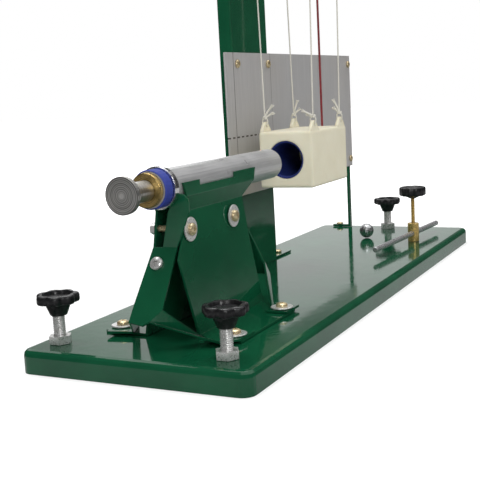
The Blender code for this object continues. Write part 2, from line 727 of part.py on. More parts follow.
def make_clamp_bolts():
    """Through bolts that pinch the two side plates; the plates lean, so a washer meets one at its edge."""
    shank, head_radius, head_height = FOOT_SCREW
    lean = (FOOT_CREASE_Y - NECK_Y) / (NECK_HEIGHT - (SHEET_TOP - TOP))
    face = web_y(CLAMP_HEIGHT)
    seat = face + FOOT_WASHER[0] * lean + GAP
    nut_seat = face + CLAMP_NUT_FLATS / math.sqrt(3) * lean + GAP
    length = seat + nut_seat + CLAMP_NUT_LENGTH + CLAMP_TAIL
    profile = pan_profile((head_radius, head_height), FOOT_WASHER, shank, length)
    for end, x in clamp_places().items():
        height = TOP + CLAMP_HEIGHT
        turned(f"clamp_bolt_{end}", profile, "zinc", along((0, -1, 0), (x, -seat, height)), steps=14)
        hex_nut(f"clamp_nut_{end}", CLAMP_NUT_FLATS, shank + HOLE_EASE, CLAMP_NUT_LENGTH, "zinc",
                along((0, 1, 0), (x, nut_seat, height)))


def make_panel_screw():
    middle, normal = panel_screw_frame()
    profile = pan_profile(PANEL_SCREW_HEAD, None, FOOT_SCREW[0], PANEL_SCREW_LENGTH)
    turned("panel_screw", profile, "zinc", along(normal, Vector(middle) + normal * GAP), steps=14)


def gun_matrix(x):
    return along((1, 0, 0), (x, 0, AXIS_Z))


def make_gun():
    tube = [(BORE_RADIUS, BARREL_LENGTH), (BARREL_RADIUS, BARREL_LENGTH)]
    tube += [(BARREL_RADIUS, 0), (BORE_RADIUS, 0)]
    turned("barrel", tube, "satin", gun_matrix(BARREL_REAR), steps=32, ring=True)
    buffer_rear = BARREL_REAR + GAP
    collar_rear = buffer_rear + BUFFER_LENGTH + GAP
    for name, x, radius, length, edge, finish in (
        ("buffer_ring", buffer_rear, BUFFER_RADIUS, BUFFER_LENGTH, BUFFER_EDGE, "blue"),
        ("barrel_collar", collar_rear, COLLAR_RADIUS, COLLAR_LENGTH, COLLAR_EDGE, "chrome"),
    ):
        inner = BARREL_RADIUS + GAP
        ring = [(inner, length), (radius - edge, length), (radius, length - edge)]
        ring += [(radius, edge), (radius - edge, 0), (inner, 0)]
        turned(name, ring, finish, gun_matrix(x), steps=28, ring=True)
    flange = GLAND_FLANGE_LENGTH
    spigot = BORE_RADIUS - GAP
    slide = PLUNGER_RADIUS + GAP
    gland = [(slide, GLAND_SPIGOT_LENGTH), (spigot, GLAND_SPIGOT_LENGTH), (spigot, 0), (GLAND_RADIUS, 0)]
    gland += [(GLAND_RADIUS, -flange * 0.9), (GLAND_RADIUS * 0.95, -flange), (slide, -flange)]
    gland_face = BARREL_REAR - GAP
    turned("gland", gland, "brass", gun_matrix(gland_face), steps=28, ring=True)
    boss_face = gland_face - flange - GAP
    make_plunger(boss_face, gland_face + GLAND_SPIGOT_LENGTH)


def make_plunger(boss_face, spring_seat):
    """The pull knob, the plunger rod with its piston, and the spring between gland and piston."""
    cone_end = -PULL_KNOB_BOSS_LENGTH
    rim_end = cone_end - PULL_KNOB_CONE
    rear = rim_end - PULL_KNOB_RIM
    depth, width = PULL_KNOB_GROOVE
    groove = (rim_end + rear) / 2
    knob = [(PLUNGER_RADIUS + GAP, 0), (PULL_KNOB_BOSS_RADIUS, 0), (PULL_KNOB_BOSS_RADIUS, cone_end)]
    knob += [(PULL_KNOB_RADIUS, rim_end), (PULL_KNOB_RADIUS, groove + width / 2)]
    knob += [(PULL_KNOB_RADIUS - depth, groove + width / 2), (PULL_KNOB_RADIUS - depth, groove - width / 2)]
    knob += [(PULL_KNOB_RADIUS, groove - width / 2), (PULL_KNOB_RADIUS, rear), (0, rear)]
    knob += [(0, -PLUNGER_SOCKET_DEPTH), (PLUNGER_RADIUS + GAP, -PLUNGER_SOCKET_DEPTH)]
    puller = turned("pull_knob", knob, "steel", gun_matrix(boss_face), steps=28, ring=True)
    rod_rear = boss_face - PLUNGER_SOCKET_DEPTH + GAP
    piston_rear = spring_seat + PISTON_REAR - GLAND_SPIGOT_LENGTH
    piston_face = piston_rear + PISTON_LENGTH
    piston = BORE_RADIUS - GAP
    rod = [(0, piston_face - rod_rear), (piston, piston_face - rod_rear), (piston, piston_rear - rod_rear)]
    rod += [(PLUNGER_RADIUS, piston_rear - rod_rear), (PLUNGER_RADIUS, 0), (0, 0)]
    plunger = turned("plunger", rod, "steel", gun_matrix(rod_rear), steps=20)
    pivot("plunger_slide", (boss_face, 0, AXIS_Z), [puller, plunger])
    make_spring(spring_seat + GAP, piston_rear - GAP)


def make_spring(start, end):
    """One unbroken wire, coiled at a steady pitch between its two seats."""
    length = end - start - 2 * SPRING_WIRE_RADIUS
    count = SPRING_TURNS * SPRING_POINTS_PER_TURN
    points = []
    for index in range(count + 1):
        angle = 2 * math.pi * index / SPRING_POINTS_PER_TURN
        x = start + SPRING_WIRE_RADIUS + length * index / count
        y = SPRING_MEAN_RADIUS * math.sin(angle)
        points.append(Vector((x, y, AXIS_Z + SPRING_MEAN_RADIUS * math.cos(angle))))
    curve = bpy.data.curves.new("launch_spring", "CURVE")
    curve.dimensions = "3D"
    curve.bevel_depth = SPRING_WIRE_RADIUS
    curve.bevel_resolution = 0
    curve.use_fill_caps = True
    spline = curve.splines.new("POLY")
    spline.points.add(count)
    for point, where in zip(spline.points, points):
        point.co = (*where, 1)
    holder = bpy.data.objects.new("launch_spring_wire", curve)
    HELPERS.objects.link(holder)
    place("launch_spring", welded_mesh(holder, "launch_spring"), "steel", Matrix.Identity(4))
    half = SPRING_POINTS_PER_TURN // 2
    pairs = ((a, b) for a in range(count + 1) for b in range(a + half, count + 1))
    nearest = min((points[a] - points[b]).length for a, b in pairs)
    print(f"launch_spring least gap to itself {1000 * (nearest - 2 * SPRING_WIRE_RADIUS):.2f} mm")


def make_column():
    near, far = COLUMN_X
    back = COLUMN_FRONT_Y + COLUMN_DEPTH
    corner = COLUMN_BEND * 0.3
    path = [
        (near, back), (near, COLUMN_FRONT_Y + COLUMN_BEND), (near + corner, COLUMN_FRONT_Y + corner),
        (near + COLUMN_BEND, COLUMN_FRONT_Y), (far - COLUMN_BEND, COLUMN_FRONT_Y),
        (far - corner, COLUMN_FRONT_Y + corner), (far, COLUMN_FRONT_Y + COLUMN_BEND), (far, back),
    ]
    low = TOP + GAP
    points = [(x, y, z) for x, y in path for z in (low, ARM_TOP)]
    faces = [(2 * i, 2 * i + 2, 2 * i + 3, 2 * i + 1) for i in range(len(path) - 1)]
    column = sheet("column", points, faces, COLUMN_SHEET, "enamel")
    foot_low = (near - COLUMN_FOOT_REACH, COLUMN_FRONT_Y + COLUMN_BEND, low)
    foot_high = (far + COLUMN_FOOT_REACH, COLUMN_FRONT_Y + COLUMN_FOOT_DEPTH, low + COLUMN_SHEET)
    combine(column, [box("column_foot", foot_low, foot_high, None)], "UNION")
    cutters = []
    radius = SMALL_SCREW[0] + HOLE_EASE
    for end, (x, y) in column_screw_places().items():
        cutters.append(hole(f"column_foot_{end}", radius, (x, y, low), (0, 0, 1), 0.010))
    for index, (x, z) in enumerate(arm_screw_places() + plate_column_screws()):
        middle = (x, COLUMN_FRONT_Y, z)
        cutters.append(hole(f"column_face_{index}", radius, middle, (0, 1, 0), 0.008))
    combine(column, cutters, "DIFFERENCE")
    seat = low + COLUMN_SHEET + GAP
    for end, (x, y) in column_screw_places().items():
        small_screw(f"column_screw_{end}", along((0, 0, 1), (x, y, seat)))


def small_screw(name, matrix):
    shank, head_radius, head_height = SMALL_SCREW
    profile = pan_profile((head_radius, head_height), None, shank, SMALL_SCREW_GRIP)
    return turned(name, profile, "brass", matrix, steps=12)


def arm_screw_places():
    middle = (COLUMN_X[0] + COLUMN_X[1]) / 2
    return [(middle + hand * ARM_SCREW_SPREAD, ARM_TOP - ARM_SCREW_DROP) for hand in (-1, 1)]


def eye_places():
    return {
        "near_right": (LUG_X[0], -STRING_TOP_Y), "near_left": (LUG_X[0], STRING_TOP_Y),
        "far_right": (LUG_X[1], -STRING_TOP_Y), "far_left": (LUG_X[1], STRING_TOP_Y),
        "pointer": (POINTER_X, 0.0),
    }


def make_top_arm():
    """A folded arm on the column's head: a leg on the web, a shelf over the block and two lips."""
    near = COLUMN_X[0] - ARM_NEAR_REACH
    far = POINTER_X + ARM_POINTER_REACH
    back = COLUMN_FRONT_Y - GAP
    lip_end = back - ARM_SHEET - ARM_LIP_BACK
    points = [
        (near, back, ARM_TOP - ARM_LEG_HEIGHT), (far, back, ARM_TOP - ARM_LEG_HEIGHT),
        (near, back, ARM_TOP), (far, back, ARM_TOP),
        (near, lip_end, ARM_TOP), (far, lip_end, ARM_TOP),
        (near, ARM_FRONT_Y, ARM_TOP), (far, ARM_FRONT_Y, ARM_TOP),
        (near, lip_end, ARM_TOP - ARM_LIP), (far, lip_end, ARM_TOP - ARM_LIP),
        (near, ARM_FRONT_Y, ARM_TOP - ARM_LIP), (far, ARM_FRONT_Y, ARM_TOP - ARM_LIP),
    ]
    faces = [(0, 2, 3, 1), (2, 4, 5, 3), (4, 6, 7, 5), (4, 8, 10, 6), (5, 7, 11, 9), (6, 10, 11, 7)]
    arm = sheet("top_arm", points, faces, ARM_SHEET, "enamel")
    cutters = [
        hole(f"arm_screw_hole_{index}", SMALL_SCREW[0] + HOLE_EASE, (x, back, z), (0, 1, 0), 0.010)
        for index, (x, z) in enumerate(arm_screw_places())
    ]
    cutters += [
        hole(f"arm_eye_hole_{name}", EYE_WIRE_RADIUS + HOLE_EASE, (x, y, ARM_TOP), (0, 0, 1), 0.010)
        for name, (x, y) in eye_places().items()
    ]
    combine(arm, cutters, "DIFFERENCE")
    seat = back - ARM_SHEET - GAP
    for index, (x, z) in enumerate(arm_screw_places()):
        small_screw(f"arm_screw_{('near', 'far')[index]}", along((0, -1, 0), (x, seat, z)))


def wire_ring(name, ring_radius, wire_radius, finish, matrix, steps=12):
    """A closed ring of round wire about local Z."""
    sides = 6
    profile = []
    for index in range(sides):
        angle = -2 * math.pi * index / sides
        profile.append((ring_radius + wire_radius * math.cos(angle), wire_radius * math.sin(angle)))
    return turned(name, profile, finish, matrix, steps=steps, ring=True)


def make_eyes():
    for name, (x, y) in eye_places().items():
        node = "pointer_eye" if name == "pointer" else f"string_eye_{name}"
        eye = wire_ring(node, EYE_RING_RADIUS, EYE_WIRE_RADIUS, "brass", along((0, 1, 0), (x, y, EYE_Z)))
        seat = ARM_TOP + GAP
        head_radius, head_height = EYE_HEAD
        root = EYE_Z + EYE_RING_RADIUS
        profile = [(0, seat + head_height), (head_radius * 0.8, seat + head_height)]
        profile += [(head_radius, seat + head_height * 0.6), (head_radius, seat)]
        profile += [(EYE_WIRE_RADIUS, seat), (EYE_WIRE_RADIUS, root), (0, root)]
        stem = turned(node + "_stem", profile, None, Matrix.Translation((x, y, 0)), steps=10)
        combine(eye, [stem], "UNION")


def make_strings():
    """Four strings. Each hangs by a loop in its eye and carries the block by a loop through its lug."""
    made = {}
    for name, (x, y) in eye_places().items():
        if name == "pointer":
            continue
        hand = math.copysign(1, y)
        top = Vector((x, y, PIVOT_Z - 2 * LOOP_RADIUS))
        bottom = Vector((x, hand * LUG_Y, LUG_HOLE_Z + 2 * LOOP_RADIUS))
        node = f"string_{name}"
        run = bottom - top
        slant = along(run.normalized(), top)
        line = cylinder(node, STRING_RADIUS, 0.0, run.length, "string", slant, steps=6)
        helpers = []
        for place_name, end, lift in (("top", top, LOOP_RADIUS), ("low", bottom, -LOOP_RADIUS)):
            middle = along((1, 0, 0), end + Vector((0, 0, lift)))
            helpers.append(wire_ring(f"{node}_{place_name}", LOOP_RADIUS, STRING_RADIUS, None, middle))
            helpers.append(knot(f"{node}_{place_name}_knot", end))
        combine(line, helpers, "UNION")
        made[name] = line
    for end, x in (("near", LUG_X[0]), ("far", LUG_X[1])):
        pivot(f"strings_{end}_pivot", (x, 0, PIVOT_Z), [made[f"{end}_right"], made[f"{end}_left"]])


def knot(name, where):
    bm = bmesh.new()
    bmesh.ops.create_uvsphere(bm, u_segments=7, v_segments=5, radius=KNOT_RADIUS)
    return place(name, mesh_from(bm, name), None, Matrix.Translation(where))


def make_block():
    low = (BLOCK_NEAR_X, -BLOCK_WIDTH / 2, BLOCK_Z - BLOCK_TALL / 2)
    high = (BLOCK_NEAR_X + BLOCK_LENGTH, BLOCK_WIDTH / 2, BLOCK_TOP)
    block = box("catch_block", low, high, "cream", bevel=BLOCK_EDGE)
    half = [(LUG_LENGTH / 2, -LUG_SINK), (LUG_LENGTH / 2, LUG_TALL * 0.12)]
    half += [(LUG_TOP_LENGTH / 2, LUG_TALL * 0.9), (LUG_TOP_LENGTH / 4, LUG_TALL)]
    outline = half + [(-x, y) for x, y in reversed(half)]
    upright = Matrix.Rotation(math.pi / 2, 4, "X")
    lugs = []
    mouth = (BLOCK_NEAR_X, 0, BLOCK_Z)
    holes = [hole("catch_bore", CATCH_RADIUS, mouth, (1, 0, 0), 2 * CATCH_DEPTH, steps=32)]
    for index, x in enumerate(LUG_X):
        for hand in (-1, 1):
            where = Matrix.Translation((x, hand * LUG_Y, BLOCK_TOP))
            lugs.append(prism(f"lug_{index}_{hand}", outline, LUG_THICK, None, where @ upright))
            middle = (x, hand * LUG_Y, LUG_HOLE_Z)
            name = f"lug_hole_{index}_{hand}"
            holes.append(hole(name, LUG_HOLE_RADIUS, middle, (0, 1, 0), 2 * LUG_THICK, steps=10))
    combine(block, lugs, "UNION")
    combine(block, holes, "DIFFERENCE")
    outer = CATCH_RADIUS - GAP
    inner = outer - LINER_WALL
    wall = [(inner, LINER_LENGTH), (outer, LINER_LENGTH), (outer, 0)]
    wall += [(inner + LINER_WALL / 2, 0), (inner, LINER_WALL)]
    seat = along((1, 0, 0), (BLOCK_NEAR_X + GAP, 0, BLOCK_Z))
    liner = turned("catch_liner", wall, "blue", seat, steps=32, ring=True)
    pivot("block_pivot", (LUG_X[0], 0, LUG_HOLE_Z), [block, liner])


def make_pointer():
    top = PIVOT_Z - 2 * LOOP_RADIUS
    tip = TOP + POINTER_TIP_HEIGHT
    upright = Matrix.Translation((POINTER_X, 0, 0))
    line = cylinder("pointer", POINTER_RADIUS, tip, top + STRING_RADIUS, "red", upright, steps=8)
    middle = along((1, 0, 0), (POINTER_X, 0, top + LOOP_RADIUS))
    loop = wire_ring("pointer_loop", LOOP_RADIUS, STRING_RADIUS, None, middle)
    combine(line, [loop], "UNION")
    pivot("pointer_pivot", (POINTER_X, 0, PIVOT_Z), [line])


def plate_column_screws():
    z = TOP + PLATE_Z[1] - PLATE_SCREW_DROP
    inset = COLUMN_BEND + SMALL_SCREW[1]
    return [(COLUMN_X[0] + inset, z), (COLUMN_X[1] - inset, z)]


def plate_strip_screws():
    return [(STRIP_X, TOP + PLATE_Z[1] - PLATE_SCREW_DROP), (STRIP_X, TOP + PLATE_Z[0] + PLATE_SCREW_RISE)]


def make_scale():
    low = (PLATE_X[0], PLATE_FRONT_Y, TOP + PLATE_Z[0])
    high = (PLATE_X[1], PLATE_BACK_Y, TOP + PLATE_Z[1])
    plate = box("scale_plate", low, high, "scale")
    screws = plate_column_screws() + plate_strip_screws()
    radius = SMALL_SCREW[0] + HOLE_EASE
    combine(plate, [
        hole(f"plate_hole_{index}", radius, (x, PLATE_BACK_Y, z), (0, 1, 0), 0.006)
        for index, (x, z) in enumerate(screws)
    ], "DIFFERENCE")
    names = ("column_near", "column_far", "strip_top", "strip_low")
    for name, (x, z) in zip(names, screws):
        small_screw(f"plate_screw_{name}", along((0, -1, 0), (x, PLATE_FRONT_Y - GAP, z)))
    front = COLUMN_FRONT_Y
    foot = TOP + GAP
    head = TOP + PLATE_Z[1] - STRIP_TOP_DROP
    toe = front + STRIP_FOOT_LENGTH
    instep = foot + STRIP_FOOT_THICK
    outline = [(front, foot), (toe, foot), (toe, instep)]
    outline += [(front + STRIP_THICK, instep), (front + STRIP_THICK, head), (front, head)]
    sideways = Matrix(((0, 0, 1, STRIP_X), (1, 0, 0, 0), (0, 1, 0, 0), (0, 0, 0, 1)))
    strip = prism("support_strip", outline, STRIP_WIDTH, "enamel", sideways)
    x, y = strip_screw_place()
    cutters = [
        hole(f"strip_hole_{index}", radius, (x, front, z), (0, 1, 0), 0.010)
        for index, (x, z) in enumerate(plate_strip_screws())
    ]
    cutters.append(hole("strip_foot_hole", radius, (x, y, foot), (0, 0, 1), 0.010))
    combine(strip, cutters, "DIFFERENCE")
    small_screw("strip_screw", along((0, 0, 1), (x, y, foot + STRIP_FOOT_THICK + GAP)))


def make_post():
    spigot_radius, spigot_length = POST_SPIGOT
    foot = TOP + GAP
    edge = 0.0005
    profile = [(0, POST_HEIGHT), (POST_RADIUS - edge, POST_HEIGHT)]
    profile += [(POST_RADIUS, POST_HEIGHT - edge), (POST_RADIUS, 0)]
    profile += [(spigot_radius, 0), (spigot_radius, -spigot_length), (0, -spigot_length)]
    post = turned("clamp_post", profile, "brass", Matrix.Translation((POST_X, POST_Y, foot)), steps=20)
    rod_z = TOP + ROD_HEIGHT
    heading = Vector((math.cos(ROD_TURN), math.sin(ROD_TURN), 0))
    middle = Vector((POST_X, POST_Y, rod_z))
    cross = hole("post_cross_hole", ROD_RADIUS + GAP, middle, heading, 4 * POST_RADIUS)
    rod_top = rod_z + ROD_RADIUS
    thread = cylinder("post_thread", THUMB_STEM_RADIUS + GAP, rod_z, TOP + 2 * POST_HEIGHT, None,
                      Matrix.Translation((POST_X, POST_Y, 0)), steps=12)
    combine(post, [cross, thread], "DIFFERENCE")
    length = ROD_BACK + ROD_FRONT
    end = ROD_RADIUS * 0.25
    bar = [(0, length), (ROD_RADIUS - end, length), (ROD_RADIUS, length - end)]
    bar += [(ROD_RADIUS, end), (ROD_RADIUS - end, 0), (0, 0)]
    turned("clamp_rod", bar, "steel", along(heading, middle - heading * ROD_BACK), steps=14)
    boss_z = TOP + THUMB_TOP_HEIGHT - THUMB_RIM_HEIGHT - THUMB_BOSS_HEIGHT
    stem_top = boss_z + THUMB_SOCKET_DEPTH - GAP
    stem = [(0, stem_top), (THUMB_STEM_RADIUS, stem_top)]
    stem += [(THUMB_STEM_RADIUS, rod_top + GAP), (0, rod_top + GAP)]
    turned("thumb_stem", stem, "brass", Matrix.Translation((POST_X, POST_Y, 0)), steps=12)
    lobed_knob("thumb_knob", THUMB_RADIUS, THUMB_LOBES, THUMB_VALLEY, THUMB_RIM_HEIGHT, THUMB_BOSS_HEIGHT,
               (THUMB_RADIUS * 0.7, THUMB_STEM_RADIUS * 1.8), THUMB_STEM_RADIUS, THUMB_SOCKET_DEPTH,
               THUMB_DISH, Matrix.Translation((POST_X, POST_Y, boss_z)))


def make_ball():
    bm = bmesh.new()
    bmesh.ops.create_uvsphere(bm, u_segments=18, v_segments=12, radius=BALL_RADIUS)
    where = Matrix.Translation((BALL_X, BALL_Y, TOP + GAP + BALL_RADIUS))
    place("steel_ball", mesh_from(bm, "steel_ball", smooth=True), "chrome", where)


make_base()
make_level_screws()
for hand_name, hand_sign in (("right", -1), ("left", 1)):
    make_stand_side(hand_name, hand_sign)
for end_name, end_sign in (("near", -1), ("far", 1)):
    make_stand_panel(end_name, end_sign)
make_foot_screws()
make_clamp_bolts()
make_panel_screw()
make_gun()
make_column()
make_top_arm()
make_eyes()
make_strings()
make_block()
make_pointer()
make_scale()
make_post()
make_ball()
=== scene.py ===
"""Looks of the ballistic pendulum: finishes, turned and moulded details, strings, camera and studio."""

import json
import math

import bmesh
import bpy
import numpy as np
from mathutils import Matrix, Vector


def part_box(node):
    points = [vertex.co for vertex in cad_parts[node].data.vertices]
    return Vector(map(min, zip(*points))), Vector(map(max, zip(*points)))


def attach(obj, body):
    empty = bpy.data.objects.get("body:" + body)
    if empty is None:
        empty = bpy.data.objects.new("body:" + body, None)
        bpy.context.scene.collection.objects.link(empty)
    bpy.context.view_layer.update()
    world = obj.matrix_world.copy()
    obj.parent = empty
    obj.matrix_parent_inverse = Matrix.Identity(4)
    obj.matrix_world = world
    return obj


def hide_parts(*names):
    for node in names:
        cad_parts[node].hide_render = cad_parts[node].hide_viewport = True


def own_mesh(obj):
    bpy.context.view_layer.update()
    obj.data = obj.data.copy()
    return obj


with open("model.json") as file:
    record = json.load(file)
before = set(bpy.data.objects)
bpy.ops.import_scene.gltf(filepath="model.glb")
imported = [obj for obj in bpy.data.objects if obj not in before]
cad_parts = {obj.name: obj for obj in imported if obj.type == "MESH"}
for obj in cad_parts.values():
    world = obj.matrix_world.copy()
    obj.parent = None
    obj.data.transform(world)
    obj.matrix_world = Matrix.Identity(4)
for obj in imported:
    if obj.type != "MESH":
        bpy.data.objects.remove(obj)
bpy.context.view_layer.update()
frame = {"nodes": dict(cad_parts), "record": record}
NODES = frame["nodes"]
ROOT = "stand_and_base"

# Camera, in the row frame
CAMERA_PLACE = (-0.6839, -0.2973, 0.1654)
CAMERA_HEADING = 27.13
CAMERA_PITCH = -9.16
CAMERA_ROLL = -3.11
CAMERA_LENS = 68.73
LIT_POINT = (0.0, 0.0, 0.1)

# Sizes shared with the solids
BASE_TOP = 0.015
GUN_Z = 0.1102
PIVOT_Z = 0.4077
LUG_HOLE_Z = 0.1372
STRING_TOP_Y = 0.025
LUG_Y = 0.0209
LUG_X = {"near": -0.007, "far": 0.052}
LOOP_RADIUS = 0.0033
LOOP_HALF = 0.0023
STRING_RADIUS = 0.0006
TAIL_RADIUS = 0.0009
STRING_LAY = 0.0034
TAIL_STRANDS = 4
TAIL_OPENS = 0.66
TAIL_WHOLE = 0.72
KNOT_RADIUS = 0.0016
KNOT_STEPS = 48
SPRING_START = -0.2053
SPRING_END = -0.1039
SPRING_RADIUS = 0.0058
SPRING_WIRE = 0.0007
SPRING_TURNS = 12
SPRING_STEPS = 20
PANEL_SCREW_SEAT = (-0.21264, 0.0024, 0.06355)
PANEL_NORMAL = (-0.8183, 0.0, 0.5748)
PANEL_SCREW_RISE = 0.0033
PANEL_SCREW_LENGTH = 0.012
GLAND_RIM_X = -0.2229

# Directions and the gun's axis
UP = (0, 0, 1)
RIGHT = (0, -1, 0)
GUN_AXIS = (0, 0, GUN_Z)

# Screws: head radius and height, washer radius and thickness, shank radius
BOLT_HEAD = (0.0040, 0.0028)
SMALL_HEAD = (0.0034, 0.0022)
PANEL_HEAD = (0.0043, 0.0030)
WASHER = (0.0077, 0.0010)
BOLT_SHANK = 0.0020
SMALL_SHANK = 0.0015
CROWN_SHARE = 0.62

# Threads: radius, pitch, depth
LEVEL_THREAD = (0.0040, 0.00125, 0.00055)
THUMB_THREAD = (0.0019, 0.0007, 0.0004)

# Hand knobs. A dish is its radius and depth; a valley is how far the rim dips between lobes
POINTS_PER_LOBE = 14
LEVEL_KNOB = {
    "radius": 0.0138, "rim": 0.0060, "boss": 0.0078, "boss_radii": (0.0086, 0.0054), "socket": 0.0043,
    "depth": 0.0088, "dish": (0.0098, 0.0024), "lobes": 7, "valley": 0.0020, "sharpness": 1.6,
}
THUMB_KNOB = {
    "radius": 0.0125, "rim": 0.0085, "boss": 0.0025, "boss_radii": (0.0088, 0.0034), "socket": 0.0022,
    "depth": 0.0068, "dish": (0.0095, 0.0010), "lobes": 10, "valley": 0.0009, "sharpness": 1.0,
}

# Lines on the scale plate. An upright dark line is its x, half width and strength
UPRIGHT_DARK_LINES = ((-0.0165, 0.0005, 0.7), (0.0540, 0.0004, 0.5))
LEVEL_RULE_Z = BASE_TOP + 0.114
LEVEL_RULE_HALF = 0.0006
LEVEL_RULE_END = 0.046
DASHES_PER_METRE = 125.0


class Finish:
    """A node material in the making. Each method adds a node and returns the output it is used for."""

    def __init__(self, name, colour, roughness=0.5, metallic=0.0):
        self.material = bpy.data.materials.new(name)
        self.material.use_nodes = True
        self.tree = self.material.node_tree
        self.shader = self.tree.nodes["Principled BSDF"]
        self.set("Base Color", (*colour, 1.0))
        self.set("Roughness", roughness)
        self.set("Metallic", metallic)
        coordinates = self.tree.nodes.new("ShaderNodeTexCoord")
        self.place = coordinates.outputs["Object"]

    def set(self, socket, value):
        """Sets a shader socket, or links a node's output to it."""
        target = self.shader.inputs[socket]
        if isinstance(value, bpy.types.NodeSocket):
            self.tree.links.new(value, target)
        else:
            target.default_value = value

    def node(self, kind, inputs=(), **settings):
        made = self.tree.nodes.new(kind)
        for name, value in settings.items():
            setattr(made, name, value)
        for key, value in dict(inputs).items():
            if isinstance(value, bpy.types.NodeSocket):
                self.tree.links.new(value, made.inputs[key])
            else:
                made.inputs[key].default_value = value
        return made

    def math(self, operation, first, second=0.0):
        return self.node("ShaderNodeMath", {0: first, 1: second}, operation=operation).outputs[0]

    def noise(self, scale, detail=3.0, roughness=0.5, place=None):
        inputs = {"Vector": place or self.place, "Scale": scale, "Detail": detail, "Roughness": roughness}
        return self.node("ShaderNodeTexNoise", inputs).outputs["Fac"]

    def stretched(self, scale):
        """Places scaled by axis, so that noise on them runs in streaks."""
        inputs = {0: self.place, 1: scale}
        return self.node("ShaderNodeVectorMath", inputs, operation="MULTIPLY").outputs[0]

    def moved(self, centre):
        inputs = {0: self.place, 1: centre}
        return self.node("ShaderNodeVectorMath", inputs, operation="SUBTRACT").outputs[0]

    def axes(self, place=None):
        split = self.node("ShaderNodeSeparateXYZ", {0: place or self.place})
        return split.outputs["X"], split.outputs["Y"], split.outputs["Z"]

    def level(self, value, low, high, out_low=0.0, out_high=1.0):
        inputs = {0: value, 1: low, 2: high, 3: out_low, 4: out_high}
        return self.node("ShaderNodeMapRange", inputs).outputs[0]

    def blend(self, share, first, second):
        """A colour between two colours, which are numbers or outputs."""
        first = first if isinstance(first, bpy.types.NodeSocket) else (*first, 1.0)
        second = second if isinstance(second, bpy.types.NodeSocket) else (*second, 1.0)
        made = self.node("ShaderNodeMix", data_type="RGBA")
        for index, value in ((0, share), (6, first), (7, second)):
            if isinstance(value, bpy.types.NodeSocket):
                self.tree.links.new(value, made.inputs[index])
            else:
                made.inputs[index].default_value = value
        return made.outputs[2]

    def relief(self, height, depth, strength=1.0, edge=0.0, under=None):
        """Bumps from a height, over rounded edges or over the relief under it."""
        inputs = {"Height": height, "Distance": depth, "Strength": strength}
        if edge:
            rounded = self.node("ShaderNodeBevel", {"Radius": edge}, samples=4)
            inputs["Normal"] = rounded.outputs["Normal"]
        elif under:
            inputs["Normal"] = under
        return self.node("ShaderNodeBump", inputs).outputs["Normal"]


def enamel():
    """Glossy stove enamel: slight orange peel, faint unevenness of tone, a little dust."""
    finish = Finish("green_enamel", (0.0045, 0.074, 0.032))
    cloud = finish.noise(22.0, 3.0)
    tone = finish.blend(finish.level(cloud, 0.35, 0.65), (0.0037, 0.064, 0.028), (0.0056, 0.086, 0.037))
    dust = finish.level(finish.noise(900.0, 2.0, 0.6), 0.70, 0.78, 0.0, 0.35)
    finish.set("Base Color", finish.blend(dust, tone, (0.034, 0.130, 0.074)))
    finish.set("Roughness", finish.level(finish.noise(60.0, 4.0), 0.3, 0.7, 0.05, 0.13))
    finish.set("Specular IOR Level", 0.45)
    finish.set("Coat Weight", 0.15)
    finish.set("Coat Roughness", 0.03)
    finish.set("Normal", finish.relief(finish.noise(140.0, 2.0), 0.0006, 0.10, edge=0.0007))
    return finish.material


def black_plastic():
    """Moulded black plastic with a fine grain and handling dust."""
    finish = Finish("black_plastic", (0.010, 0.010, 0.011))
    dust = finish.level(finish.noise(260.0, 5.0, 0.65), 0.52, 0.78, 0.0, 0.55)
    finish.set("Base Color", finish.blend(dust, (0.007, 0.007, 0.008), (0.060, 0.060, 0.064)))
    finish.set("Roughness", finish.level(finish.noise(500.0, 3.0), 0.3, 0.7, 0.24, 0.46))
    finish.set("Normal", finish.relief(finish.noise(1800.0, 2.0), 0.0002, 0.25))
    return finish.material


def plated(name, colour, dark, roughness):
    """Plated steel with faint mottling, stains and scratches."""
    finish = Finish(name, colour, roughness, 0.7)
    stain = finish.level(finish.noise(420.0, 5.0, 0.6), 0.45, 0.75)
    finish.set("Base Color", finish.blend(stain, colour, dark))
    wear = finish.noise(900.0, 3.0)
    finish.set("Roughness", finish.level(wear, 0.3, 0.7, roughness * 0.7, roughness * 1.5))
    scratch = finish.noise(1.0, 2.0, 0.6, finish.stretched((9000.0, 900.0, 2500.0)))
    finish.set("Normal", finish.relief(scratch, 0.0001, 0.20))
    return finish.material


def turned_metal(name, colour, dark, roughness, centre, axis, rings):
    """Metal turned about an axis, as an open finish: rings on its faces, lines round its sides and a painted
    highlight at the middle of each face.
    """
    finish = Finish(name, colour, roughness, 1.0)
    local = finish.axes(finish.moved(centre))
    across = [local[index] for index in range(3) if index != axis]
    squares = [finish.math("MULTIPLY", side, side) for side in across]
    radius = finish.math("SQRT", finish.math("ADD", *squares))
    outward = finish.math("MULTIPLY", radius, rings)
    along = finish.math("MULTIPLY", local[axis], rings * 1.3)
    lay = finish.math("ADD", outward, along)
    grooves = finish.math("SINE", lay)
    on_lay = finish.node("ShaderNodeCombineXYZ", {0: lay, 1: 0.0, 2: 0.0}).outputs[0]
    fine = finish.noise(0.14, 3.0, 0.7, on_lay)
    mark = finish.math("ADD", finish.math("MULTIPLY", grooves, 0.25), finish.level(fine, 0.25, 0.75))
    # Painted highlight: the colour brightens towards the axis, at the middle of each face
    painted_centre_highlight = finish.level(radius, 0.0025, 0.0010)
    shade = finish.level(finish.math("ADD", mark, painted_centre_highlight), 0.1, 0.9)
    finish.set("Base Color", finish.blend(shade, dark, colour))
    finish.set("Roughness", finish.level(fine, 0.3, 0.7, roughness * 0.8, roughness * 1.4))
    finish.set("Normal", finish.relief(mark, 0.00012, 0.8, edge=0.0003))
    return finish


